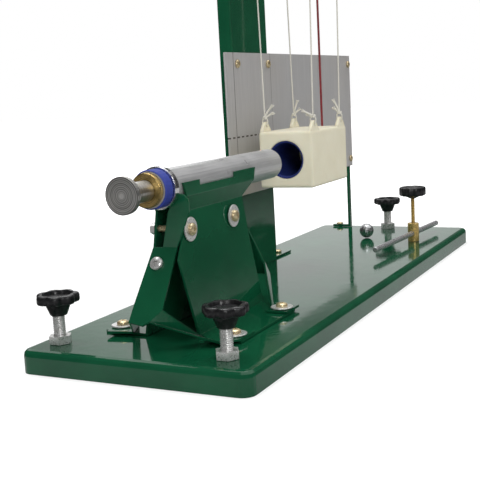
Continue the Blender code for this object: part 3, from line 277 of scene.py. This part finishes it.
def drawn_steel():
    """The barrel: satin drawn tube with lengthwise streaks, dull patches and small dark marks."""
    finish = Finish("drawn_steel", (0.62, 0.62, 0.62), 0.3, 0.55)
    streak = finish.noise(1.0, 4.0, 0.65, finish.stretched((30.0, 900.0, 900.0)))
    patch = finish.noise(70.0, 5.0, 0.6)
    stain = finish.level(finish.noise(75.0, 6.0, 0.7), 0.62, 0.76, 0.0, 0.55)
    base = finish.blend(finish.level(streak, 0.3, 0.7), (0.50, 0.50, 0.51), (0.64, 0.64, 0.64))
    base = finish.blend(stain, base, (0.24, 0.235, 0.23))
    finish.set("Base Color", base)
    finish.set("Roughness", finish.level(patch, 0.3, 0.7, 0.26, 0.46))
    finish.set("Normal", finish.relief(streak, 0.0002, 0.12))
    return finish.material


def polished(name, colour, roughness):
    """Bright polished metal with a few dull specks and softened edges."""
    finish = Finish(name, colour, roughness, 1.0)
    darker = [0.82 * value for value in colour]
    finish.set("Base Color", finish.blend(finish.noise(300.0, 4.0), colour, darker))
    finish.set("Roughness", finish.level(finish.noise(700.0, 5.0, 0.7), 0.4, 0.75, roughness, roughness * 4))
    finish.set("Normal", finish.relief(finish.noise(2500.0, 2.0), 0.00005, 0.15, edge=0.0003))
    return finish.material


def knurled_brass():
    """The gland: turned brass with two grooves and a fine straight knurl on its front rim."""
    finish = turned_metal("knurled_brass", (0.84, 0.62, 0.26), (0.52, 0.34, 0.11), 0.24, GUN_AXIS, 0, 9000.0)
    x, y, z = finish.axes(finish.moved(GUN_AXIS))
    angle = finish.math("ARCTAN2", y, z)
    teeth = finish.math("SINE", finish.math("MULTIPLY", angle, 64.0))
    front = finish.math("GREATER_THAN", x, GLAND_RIM_X)
    ring = finish.math("SINE", finish.math("MULTIPLY", x, 2600.0))
    height = finish.math("ADD", finish.math("MULTIPLY", teeth, front), finish.math("MULTIPLY", ring, 0.6))
    under = finish.shader.inputs["Normal"].links[0].from_socket
    finish.set("Normal", finish.relief(height, 0.0003, 0.9, under=under))
    return finish.material


def blue_grain(name, colour, light):
    """Matt blue with a fine raised grain."""
    finish = Finish(name, colour, 0.62)
    grain = finish.noise(1500.0, 3.0, 0.6)
    finish.set("Base Color", finish.blend(finish.level(grain, 0.45, 0.75), colour, light))
    finish.set("Roughness", finish.level(grain, 0.3, 0.7, 0.5, 0.75))
    finish.set("Normal", finish.relief(grain, 0.0003, 0.6))
    return finish.material


def cream_plastic():
    """Moulded cream plastic: waxy, faintly mottled, with soft edges and grubby patches."""
    finish = Finish("cream_plastic", (0.84, 0.79, 0.61), 0.42)
    cloud = finish.level(finish.noise(45.0, 4.0), 0.3, 0.7)
    tone = finish.blend(cloud, (0.82, 0.765, 0.58), (0.87, 0.825, 0.65))
    grub = finish.level(finish.noise(120.0, 6.0, 0.7), 0.60, 0.80, 0.0, 0.35)
    finish.set("Base Color", finish.blend(grub, tone, (0.68, 0.61, 0.43)))
    finish.set("Roughness", finish.level(finish.noise(300.0, 3.0), 0.3, 0.7, 0.36, 0.55))
    finish.set("Subsurface Weight", 0.15)
    finish.set("Subsurface Radius", (0.004, 0.003, 0.002))
    finish.set("Subsurface Scale", 0.5)
    finish.set("Normal", finish.relief(finish.noise(160.0, 3.0), 0.0004, 0.20, edge=0.0022))
    return finish.material


def cotton():
    """Twisted white cotton with loose fibres and a little grey."""
    finish = Finish("cotton", (0.70, 0.68, 0.60), 0.85)
    fibre = finish.noise(2600.0, 3.0, 0.7)
    shade = finish.level(fibre, 0.3, 0.7)
    finish.set("Base Color", finish.blend(shade, (0.56, 0.54, 0.46), (0.80, 0.78, 0.71)))
    finish.set("Roughness", finish.level(fibre, 0.3, 0.7, 0.78, 0.95))
    finish.set("Sheen Weight", 0.3)
    finish.set("Normal", finish.relief(fibre, 0.0002, 0.6))
    return finish.material


def red_paint():
    """The pointer: thin dark red paint, a little uneven."""
    finish = Finish("red_paint", (0.22, 0.010, 0.016), 0.38)
    patch = finish.noise(400.0, 4.0, 0.6)
    shade = finish.level(patch, 0.35, 0.7)
    finish.set("Base Color", finish.blend(shade, (0.17, 0.007, 0.012), (0.28, 0.016, 0.022)))
    finish.set("Roughness", finish.level(patch, 0.3, 0.7, 0.30, 0.50))
    finish.set("Normal", finish.relief(patch, 0.0002, 0.25))
    return finish.material


def scale_metal():
    """Brushed sheet with a printed dashed level line and two dark upright lines over the column."""
    finish = Finish("scale_metal", (0.60, 0.59, 0.58), 0.4, 0.35)
    grain = finish.noise(1.0, 4.0, 0.7, finish.stretched((900.0, 900.0, 14.0)))
    cloud = finish.noise(16.0, 3.0)
    base = finish.blend(finish.level(grain, 0.3, 0.7), (0.54, 0.53, 0.53), (0.66, 0.65, 0.65))
    base = finish.blend(finish.level(cloud, 0.45, 0.8, 0.0, 0.35), base, (0.62, 0.57, 0.52))
    x, y, z = finish.axes()
    warm = finish.math("MULTIPLY", finish.level(x, 0.06, -0.03), finish.level(z, 0.13, 0.09))
    base = finish.blend(finish.math("MULTIPLY", warm, 0.55), base, (0.52, 0.42, 0.28))
    dark_lines = None
    # Two dark upright lines over the column, each at its own strength
    for at, half, strength in UPRIGHT_DARK_LINES:
        line = finish.math("LESS_THAN", finish.math("ABSOLUTE", finish.math("SUBTRACT", x, at)), half)
        line = finish.math("MULTIPLY", line, strength)
        dark_lines = line if dark_lines is None else finish.math("MAXIMUM", dark_lines, line)
    from_rule = finish.math("ABSOLUTE", finish.math("SUBTRACT", z, LEVEL_RULE_Z))
    level_rule = finish.math("LESS_THAN", from_rule, LEVEL_RULE_HALF)
    dash = finish.math("LESS_THAN", finish.math("FRACT", finish.math("MULTIPLY", x, DASHES_PER_METRE)), 0.55)
    dash = finish.math("MULTIPLY", dash, finish.math("LESS_THAN", x, LEVEL_RULE_END))
    dark_lines = finish.math("MAXIMUM", dark_lines, finish.math("MULTIPLY", level_rule, dash))
    finish.set("Base Color", finish.blend(dark_lines, base, (0.05, 0.035, 0.03)))
    finish.set("Roughness", finish.level(grain, 0.3, 0.7, 0.32, 0.50))
    finish.set("Normal", finish.relief(grain, 0.0001, 0.25))
    return finish.material


GREEN = enamel()
BLACK = black_plastic()
ZINC = plated("bright_zinc", (0.78, 0.78, 0.77), (0.56, 0.55, 0.52), 0.30)
YELLOW_ZINC = plated("yellow_zinc", (0.76, 0.64, 0.40), (0.46, 0.30, 0.15), 0.28)
STEEL = plated("bright_steel", (0.58, 0.58, 0.59), (0.38, 0.38, 0.39), 0.26)
BRASS = plated("bright_brass", (0.76, 0.55, 0.20), (0.48, 0.31, 0.09), 0.26)
CHROME = polished("polished_chrome", (0.82, 0.82, 0.83), 0.10)
BALL = polished("ball_steel", (0.60, 0.61, 0.62), 0.16)
BARREL = drawn_steel()
KNOB = turned_metal("turned_knob", (0.95, 0.94, 0.91), (0.20, 0.19, 0.175), 0.30, GUN_AXIS, 0, 5600.0)
GLAND = knurled_brass()
BLUE = blue_grain("blue_band", (0.018, 0.035, 0.260), (0.040, 0.075, 0.420))
LINER = blue_grain("blue_liner", (0.010, 0.022, 0.150), (0.020, 0.045, 0.260))
CREAM = cream_plastic()
COTTON = cotton()
RED = red_paint()
SCALE = scale_metal()


def dress_nodes():
    """Every solid that is shown gets its finish; those that a finer piece stands for are hidden later."""
    by_slot = {
        "enamel": GREEN, "black": BLACK, "zinc": ZINC, "steel": STEEL, "satin": BARREL, "chrome": CHROME,
        "brass": BRASS, "blue": BLUE, "cream": CREAM, "string": COTTON, "red": RED, "scale": SCALE,
    }
    own = {"pull_knob": KNOB.material, "gland": GLAND, "catch_liner": LINER, "steel_ball": BALL}
    slots = {row["node"]: row["material_slot"] for row in frame["record"]["subparts"]}
    for name, node in NODES.items():
        node.data.materials.clear()
        node.data.materials.append(own.get(name, by_slot[slots[name]]))
        node.data.shade_smooth()
        node.data.set_sharp_from_angle(angle=math.radians(32))


def mesh_piece(name, verts, faces, material, smooth=True, sharp=40):
    """A new object. Faces that meet at more than the sharp angle, in degrees, keep a hard edge."""
    mesh = bpy.data.meshes.new(name)
    mesh.from_pydata([tuple(vert) for vert in verts], [], faces)
    mesh.materials.append(material)
    mesh.update()
    if smooth:
        mesh.shade_smooth()
        mesh.set_sharp_from_angle(angle=math.radians(sharp))
    obj = bpy.data.objects.new(name, mesh)
    bpy.context.scene.collection.objects.link(obj)
    return obj


def skin(rings, closed_ends=True):
    """Faces that join equal rings of points one after another, with caps at the ends."""
    count = len(rings[0])
    verts = [point for ring in rings for point in ring]
    faces = []
    for here in range(0, (len(rings) - 1) * count, count):
        there = here + count
        for column in range(count):
            after = (column + 1) % count
            faces.append((here + column, here + after, there + after, there + column))
    if closed_ends:
        faces.append(tuple(reversed(range(count))))
        last = (len(rings) - 1) * count
        faces.append(tuple(range(last, last + count)))
    return verts, faces


def standing(axis, place):
    """The matrix that puts local +Z along an axis, at a place."""
    turn = Vector((0, 0, 1)).rotation_difference(Vector(axis)).to_matrix().to_4x4()
    return Matrix.Translation(place) @ turn


def settle(obj, matrix, body, slot, *nodes):
    """Bakes a piece into its place, lets it ride on a body and, if named, stand for solids."""
    obj.data.transform(matrix)
    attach(obj, body)
    if nodes:
        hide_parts(*nodes)
    return obj


def turned_rings(profile, steps):
    """Rings about the Z axis, one for each radius and height of a profile."""
    angles = [2 * math.pi * step / steps for step in range(steps)]
    return [
        [(radius * math.cos(angle), radius * math.sin(angle), height) for angle in angles]
        for radius, height in profile
    ]


def cross_cutter(name, reach, width, depth):
    """A tapered cross, for the driver recess of a screw head at height 0."""
    cutter = bmesh.new()
    for turn in (0.0, math.pi / 2):
        made = bmesh.ops.create_cube(cutter, size=1.0)["verts"]
        bmesh.ops.scale(cutter, vec=(2 * reach, width, 2 * depth), verts=made)
        for vert in made:
            if vert.co.z < 0:
                vert.co.x *= 0.45
                vert.co.y *= 0.7
        bmesh.ops.rotate(cutter, cent=(0, 0, 0), matrix=Matrix.Rotation(turn, 3, "Z"), verts=made)
    mesh = bpy.data.meshes.new(name)
    cutter.to_mesh(mesh)
    cutter.free()
    obj = bpy.data.objects.new(name, mesh)
    bpy.context.scene.collection.objects.link(obj)
    return obj


def cut_away(obj, cutter):
    """Cuts one object out of another for good, and removes the cutter."""
    boolean = obj.modifiers.new("recess", "BOOLEAN")
    boolean.object = cutter
    boolean.operation = "DIFFERENCE"
    boolean.solver = "EXACT"
    boolean.use_self = True
    graph = bpy.context.evaluated_depsgraph_get()
    cut = bpy.data.meshes.new_from_object(obj.evaluated_get(graph))
    obj.modifiers.clear()
    obj.data = cut
    bpy.data.objects.remove(cutter, do_unlink=True)
    obj.data.shade_smooth()
    obj.data.set_sharp_from_angle(angle=math.radians(40))


def screw_span(node, axis):
    """The top of a screw that stands along a main axis, and its length, from its solid."""
    low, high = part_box(node)
    along = Vector(axis)
    half = abs((high - low).dot(along)) / 2
    return (low + high) / 2 + along * half, 2 * half


def dress_screw(node, axis, head, washer, shank, finish, slot, turn, span=None):
    """A pan-head screw with a cross recess, and its washer, in place of a plain solid."""
    top, length = span or screw_span(node, axis)
    radius, height = head
    sweep = np.linspace(0.08, math.pi / 2, 9)
    crown = [(radius * math.sin(t), -height * CROWN_SHARE * (1 - math.cos(t))) for t in sweep]
    crown += [(radius, -height * 0.9), (radius * 0.97, -height)]
    tail = height + (washer[1] if washer else 0.0)
    crown += [(shank, -height), (shank, -length)]
    rings = turned_rings(crown, 28)
    verts, faces = skin(rings)
    piece = mesh_piece(node + "_dressed", verts, [tuple(reversed(face)) for face in faces], finish)
    cut_away(piece, cross_cutter(node + "_recess", radius * 0.58, radius * 0.22, height * CROWN_SHARE))
    place = standing(axis, top) @ Matrix.Rotation(turn, 4, "Z")
    settle(piece, place, ROOT, slot, node)
    if washer:
        wide, thick = washer
        edge = thick * 0.25
        outer = [(wide - edge, -height), (wide, -height - edge), (wide, -tail + edge), (wide - edge, -tail)]
        ring = [(radius * 0.8, -height)] + outer + [(radius * 0.8, -tail)]
        verts, faces = skin(turned_rings(ring + ring[:1], 36), closed_ends=False)
        disc = mesh_piece(node + "_washer", verts, [tuple(reversed(face)) for face in faces], ZINC)
        settle(disc, place, ROOT, "zinc")


def dress_screws():
    """Every screw, each with its recess turned its own way."""
    bolt = (BOLT_HEAD, WASHER, BOLT_SHANK, YELLOW_ZINC, "zinc")
    small = (SMALL_HEAD, None, SMALL_SHANK, YELLOW_ZINC, "brass")
    for index, end in enumerate(("near_right", "near_left", "far_right", "far_left")):
        dress_screw(f"foot_screw_{end}", UP, *bolt, 0.4 + index)
    for index, end in enumerate(("near", "far")):
        dress_screw(f"clamp_bolt_{end}", RIGHT, *bolt, 0.5 + index)
        dress_screw(f"column_screw_{end}", UP, *small, 0.3 + index)
        dress_screw(f"arm_screw_{end}", RIGHT, *small, 0.9 + index)
    for index, end in enumerate(("column_near", "column_far", "strip_top", "strip_low")):
        dress_screw(f"plate_screw_{end}", RIGHT, *small, 0.2 + index)
    top = Vector(PANEL_SCREW_SEAT) + Vector(PANEL_NORMAL) * PANEL_SCREW_RISE
    span = (top, PANEL_SCREW_LENGTH)
    dress_screw("panel_screw", PANEL_NORMAL, PANEL_HEAD, None, BOLT_SHANK, ZINC, "zinc", 0.2, span)
    dress_screw("strip_screw", UP, *small, 0.7)


def threaded(name, radius, pitch, depth, low, high, material):
    """A stud with a real thread on its length, between two heights."""
    sides = 20
    per_turn = 6
    rows = int((high - low) / pitch * per_turn)
    rings = []
    for row in range(rows + 1):
        height = low + (high - low) * row / rows
        ring = []
        for side in range(sides):
            angle = 2 * math.pi * side / sides
            phase = (height / pitch - side / sides) % 1.0
            groove = depth * abs(2 * phase - 1)
            fade = min(1.0, (height - low) / pitch, (high - height) / pitch)
            reach = radius - groove * fade - depth * 0.5 * (1 - fade)
            ring.append((reach * math.cos(angle), reach * math.sin(angle), height))
        rings.append(ring)
    verts, faces = skin(rings)
    return mesh_piece(name, verts, faces, material, sharp=60)


def over_middle(low, high, height):
    """The move that sets a piece over the middle of a box, at a height."""
    return Matrix.Translation(((low.x + high.x) / 2, (low.y + high.y) / 2, height))


def dress_studs():
    """Threaded studs under the levelling knobs, and the thumb knob's threaded stem."""
    for end in ("near_right", "near_left", "far"):
        node = f"level_stud_{end}"
        low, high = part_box(node)
        stud = threaded(node + "_thread", *LEVEL_THREAD, low.z, high.z, ZINC)
        settle(stud, over_middle(low, high, 0), node, "zinc", node)
    low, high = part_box("thumb_stem")
    stem = threaded("thumb_stem_thread", *THUMB_THREAD, low.z, high.z, BRASS)
    settle(stem, over_middle(low, high, 0), "thumb_stem", "brass", "thumb_stem")


def lobed_ring(radius, height, lobes, valley, sharpness):
    """One level of a hand knob: a circle drawn in between its lobes."""
    ring = []
    count = lobes * POINTS_PER_LOBE
    for index in range(count):
        angle = 2 * math.pi * index / count
        dip = (0.5 - 0.5 * math.cos(lobes * angle)) ** sharpness
        reach = radius - valley * dip
        ring.append((reach * math.cos(angle), reach * math.sin(angle), height))
    return ring


def dress_knob(node, radius, rim, boss, boss_radii, socket, depth, dish, lobes, valley, sharpness):
    """A moulded hand knob: rounded lobed rim, a dish on top, a cone below and a socket for the stud."""
    low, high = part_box(node)
    round_off = 0.0012
    levels = [(socket, depth), (socket, 0.0)]
    levels += [(boss_radii[1] - 0.0004, 0.0), (boss_radii[1], 0.0004), (boss_radii[0] * 0.97, boss)]
    smooth = [lobed_ring(r, h, lobes, 0.0, 1.0) for r, h in levels]
    under = [(radius - round_off * 1.4, boss), (radius - round_off * 0.4, boss + round_off * 0.4)]
    sides = [(radius, boss + round_off * 1.3), (radius, boss + rim - round_off * 1.3)]
    crest = boss + rim
    over = [(radius - round_off * 0.4, crest - round_off * 0.4), (radius - round_off * 1.2, crest)]
    lobed = [lobed_ring(r, h, lobes, valley, sharpness) for r, h in under + sides + over]
    dish_radius, dish_depth = dish
    floor = crest - dish_depth
    inner = [
        (dish_radius + 0.0004, crest, 0.35),
        (dish_radius, crest - 0.0005, 0.3),
        (dish_radius * 0.94, floor, 0.15),
        (dish_radius * 0.3, floor, 0.0),
        (0.0004, floor, 0.0),
    ]
    top = [lobed_ring(r, h, lobes, valley * share, sharpness) for r, h, share in inner]
    verts, faces = skin(smooth + lobed + top)
    piece = mesh_piece(node + "_moulded", verts, faces, BLACK, sharp=50)
    settle(piece, over_middle(low, high, low.z), node, "black", node)


def dress_knobs():
    """The three levelling knobs and the thumb knob."""
    for end in ("near_right", "near_left", "far"):
        dress_knob(f"level_knob_{end}", **LEVEL_KNOB)
    dress_knob("thumb_knob", **THUMB_KNOB)


def tube_rings(points, radius, sides, lay=0.0, strands=3, bulge=0.16):
    """Rings along a line of points. A lay, in metres a turn, gives the tube twisted strands."""
    points = [Vector(point) for point in points]
    rings = []
    tangent = (points[1] - points[0]).normalized()
    side = tangent.orthogonal().normalized()
    travelled = 0.0
    for index, point in enumerate(points):
        before = points[max(index - 1, 0)]
        after = points[min(index + 1, len(points) - 1)]
        tangent = (after - before).normalized()
        side = (side - tangent * side.dot(tangent)).normalized()
        other = tangent.cross(side)
        if index:
            travelled += (point - points[index - 1]).length
        twist = 2 * math.pi * travelled / lay if lay else 0.0
        ring = []
        for corner in range(sides):
            angle = 2 * math.pi * corner / sides
            reach = radius
            if lay:
                reach *= 1 - bulge + bulge * abs(math.cos(strands * (angle - twist) / 2))
            ring.append(point + (side * math.cos(angle) + other * math.sin(angle)) * reach)
        rings.append(ring)
    return rings


def joined(shapes):
    """One list of points and one of faces from several."""
    verts, faces = [], []
    for more_verts, more_faces in shapes:
        start = len(verts)
        verts += more_verts
        faces += [tuple(index + start for index in face) for face in more_faces]
    return verts, faces


def straight(start, end, step):
    """Points from a start to an end, about a step apart."""
    start, end = Vector(start), Vector(end)
    count = max(2, int((end - start).length / step))
    return [start.lerp(end, index / count) for index in range(count + 1)]


def loop_points(centre, radius, half, count=36):
    """A drawn-up loop across the swing, from its foot right round to its foot again."""
    points = []
    for index in range(count + 1):
        angle = 2 * math.pi * index / count
        points.append(Vector(centre) + Vector((0, half * math.sin(angle), -radius * math.cos(angle))))
    return points


def knot_points(centre, radius, up):
    """A tight overhand knot as a trefoil, on an axis."""
    matrix = standing(up, centre)
    points = []
    for index in range(KNOT_STEPS + 1):
        t = 2 * math.pi * index / KNOT_STEPS
        x = math.sin(t) + 2 * math.sin(2 * t)
        y = math.cos(t) - 2 * math.cos(2 * t)
        points.append(matrix @ Vector((x * radius / 3, y * radius / 3, -math.sin(3 * t) * radius * 0.55)))
    return points


def tail_shapes(root, direction, length, curl):
    """A loose end that opens into its strands."""
    root, direction = Vector(root), Vector(direction).normalized()
    across = direction.orthogonal().normalized()
    bend = Vector(curl)
    body = [root + direction * length * t + bend * t * t for t in np.linspace(0, TAIL_WHOLE, 12)]
    shapes = [skin(tube_rings(body, TAIL_RADIUS, 8, STRING_LAY))]
    for strand in range(TAIL_STRANDS):
        angle = 2 * math.pi * strand / TAIL_STRANDS + 0.5
        spread = across * math.cos(angle) + direction.cross(across) * math.sin(angle)
        line = []
        for t in np.linspace(TAIL_OPENS, 1.0, 7):
            open_out = ((t - TAIL_OPENS) / (1.0 - TAIL_OPENS)) ** 1.4
            middle = root + direction * length * t + bend * t * t
            line.append(middle + spread * TAIL_RADIUS * (0.4 + 0.9 * open_out))
        shapes.append(skin(tube_rings(line, TAIL_RADIUS * 0.5, 6)))
    return shapes


# Loose ends at the block: direction, length and how the end curls
TAILS = {
    "near_left": ((0.10, -0.45, 1.0), 0.0105, (0.000, -0.0030, 0.000)),
    "far_left": ((0.05, -0.25, 1.0), 0.0120, (0.000, -0.0010, 0.000)),
    "near_right": ((-0.20, 0.80, 0.35), 0.0085, (0.000, 0.0010, 0.0010)),
    "far_right": ((-0.10, 0.30, 1.0), 0.0115, (0.000, 0.0016, 0.000)),
}


def dress_strings():
    """Twisted strings, each with a loop and a knot at either end and loose ends."""
    for name, (direction, length, curl) in TAILS.items():
        end, hand = name.split("_")
        sign = 1 if hand == "left" else -1
        x = LUG_X[end]
        top = Vector((x, sign * STRING_TOP_Y, PIVOT_Z - 2 * LOOP_RADIUS))
        foot = Vector((x, sign * LUG_Y, LUG_HOLE_Z + 2 * LOOP_RADIUS))
        shapes = [skin(tube_rings(straight(foot, top, 0.0008), STRING_RADIUS, 9, STRING_LAY))]
        for knot, lift in ((top, LOOP_RADIUS), (foot, -LOOP_RADIUS)):
            turned_over = loop_points(knot + Vector((0, 0, lift)), LOOP_RADIUS, LOOP_HALF)
            shapes.append(skin(tube_rings(turned_over, STRING_RADIUS, 9, STRING_LAY)))
            shapes.append(skin(tube_rings(knot_points(knot, KNOT_RADIUS, UP), STRING_RADIUS, 8)))
        shapes += tail_shapes(foot + Vector((0, 0, 0.0004)), direction, length, curl)
        second = Vector(direction) + Vector((0.35, -0.5 * sign, -0.1))
        shapes += tail_shapes(foot - Vector((0, 0, 0.0004)), second, length * 0.6, curl)
        shapes += tail_shapes(top, (0.5, 0.5 * sign, -0.5), 0.008, (0, 0, -0.002))
        verts, faces = joined(shapes)
        piece = mesh_piece(f"string_{name}_twisted", verts, faces, COTTON, sharp=80)
        settle(piece, Matrix.Identity(4), f"{end}_strings", "string", f"string_{name}")


def dress_spring():
    """The launch spring as a fixed coil at rest; the real one closes up as the plunger is pulled."""
    count = SPRING_TURNS * SPRING_STEPS
    length = SPRING_END - SPRING_START - 2 * SPRING_WIRE
    points = []
    for index in range(count + 1):
        angle = 2 * math.pi * index / SPRING_STEPS
        x = SPRING_START + SPRING_WIRE + length * index / count
        points.append((x, SPRING_RADIUS * math.sin(angle), GUN_Z + SPRING_RADIUS * math.cos(angle)))
    verts, faces = skin(tube_rings(points, SPRING_WIRE, 8))
    spring = mesh_piece("launch_spring_wire", verts, faces, STEEL, sharp=80)
    settle(spring, Matrix.Identity(4), ROOT, "steel", "launch_spring")
    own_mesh(spring)


def aim_camera():
    """The photo's view."""
    camera = bpy.data.objects.new("camera", bpy.data.cameras.new("camera"))
    bpy.context.scene.collection.objects.link(camera)
    camera.data.lens = CAMERA_LENS
    camera.data.sensor_width = 36.0
    camera.data.clip_start = 0.01
    heading = Matrix.Rotation(math.radians(CAMERA_HEADING - 90), 4, "Z")
    pitch = Matrix.Rotation(math.radians(90 + CAMERA_PITCH), 4, "X")
    roll = Matrix.Rotation(math.radians(CAMERA_ROLL), 4, "Z")
    camera.matrix_world = Matrix.Translation(CAMERA_PLACE) @ heading @ pitch @ roll
    bpy.context.scene.camera = camera


def area_light(name, place, target, size, power):
    """A rectangular light at a place, turned to a target."""
    light = bpy.data.lights.new(name, "AREA")
    light.shape = "RECTANGLE"
    light.size, light.size_y = size
    light.energy = power
    obj = bpy.data.objects.new(name, light)
    bpy.context.scene.collection.objects.link(obj)
    away = Vector(place) - Vector(target)
    obj.matrix_world = Matrix.Translation(place) @ away.to_track_quat("Z", "Y").to_matrix().to_4x4()


def studio_world():
    """White to the camera. Gloss mirrors a white wall ahead, a pale table, a soft box above and dim sides."""
    world = bpy.data.worlds.new("studio")
    bpy.context.scene.world = world
    world.use_nodes = True
    tree = world.node_tree
    back = tree.nodes["Background"]
    path = tree.nodes.new("ShaderNodeLightPath")
    direction = tree.nodes.new("ShaderNodeTexCoord").outputs["Generated"]

    def towards(axis, low, high, dim, bright):
        """A level that grows from dim to bright as a ray turns towards an axis."""
        facing = tree.nodes.new("ShaderNodeVectorMath")
        facing.operation = "DOT_PRODUCT"
        facing.inputs[1].default_value = axis
        tree.links.new(direction, facing.inputs[0])
        level = tree.nodes.new("ShaderNodeMapRange")
        level.interpolation_type = "SMOOTHSTEP"
        for index, value in ((1, low), (2, high), (3, dim), (4, bright)):
            level.inputs[index].default_value = value
        tree.links.new(facing.outputs["Value"], level.inputs[0])
        return level.outputs[0]

    def joined_by(operation, first, second):
        both = tree.nodes.new("ShaderNodeMath")
        both.operation = operation
        tree.links.new(first, both.inputs[0])
        tree.links.new(second, both.inputs[1])
        return both.outputs[0]

    wall = towards((0.89, 0.45, 0.0), 0.89, 0.985, 0.05, 0.84)
    table = towards((0.0, 0.0, -1.0), 0.06, 0.20, 0.0, 0.60)
    beyond = towards((0.0, 0.0, 1.0), -0.40, -0.24, 0.15, 1.0)
    table = joined_by("MULTIPLY", table, beyond)
    soft_box = towards((0.25, -0.25, 0.94), 0.66, 0.88, 0.0, 1.10)
    gloss = tree.nodes.new("ShaderNodeMix")
    gloss.inputs[2].default_value = 0.66
    tree.links.new(path.outputs["Is Glossy Ray"], gloss.inputs[0])
    around = joined_by("MAXIMUM", joined_by("MAXIMUM", wall, table), soft_box)
    tree.links.new(around, gloss.inputs[3])
    seen = tree.nodes.new("ShaderNodeMix")
    seen.inputs[3].default_value = 1.0
    tree.links.new(path.outputs["Is Camera Ray"], seen.inputs[0])
    tree.links.new(gloss.outputs[0], seen.inputs[2])
    tree.links.new(seen.outputs[0], back.inputs["Strength"])
    back.inputs["Color"].default_value = (1, 1, 1, 1)


def pale_floor():
    """A large pale floor that keeps a soft shadow and fades to white away from the object."""
    half = 6.0
    verts = [(-half, -half, 0), (half, -half, 0), (half, half, 0), (-half, half, 0)]
    finish = Finish("pale_floor", (0.55, 0.55, 0.55), 0.9)
    cloud = finish.noise(3.0, 2.0)
    finish.set("Base Color", finish.blend(cloud, (0.54, 0.54, 0.54), (0.57, 0.57, 0.57)))
    finish.set("Specular IOR Level", 0.0)
    path = finish.node("ShaderNodeLightPath")
    reach = finish.node("ShaderNodeVectorMath", {0: finish.place}, operation="LENGTH").outputs["Value"]
    glow = finish.level(reach, 0.30, 0.80, 0.50, 1.0)
    finish.set("Emission Color", (1.0, 1.0, 1.0, 1.0))
    finish.set("Emission Strength", finish.math("MULTIPLY", path.outputs["Is Camera Ray"], glow))
    floor = mesh_piece("floor", verts, [(0, 1, 2, 3)], finish.material, smooth=False)
    floor.visible_glossy = False


dress_nodes()
dress_screws()
dress_studs()
dress_knobs()
dress_strings()
dress_spring()
aim_camera()
studio_world()
pale_floor()
area_light("key", (0.15, 0.2, 1.5), LIT_POINT, (1.2, 1.2), 15.0)
area_light("rim", (0.9, 0.9, 0.9), LIT_POINT, (1.0, 0.8), 2.5)
area_light("front", (-1.2, -0.9, 0.7), LIT_POINT, (0.5, 0.5), 6.5)
bpy.context.scene.view_settings.view_transform = "Standard"
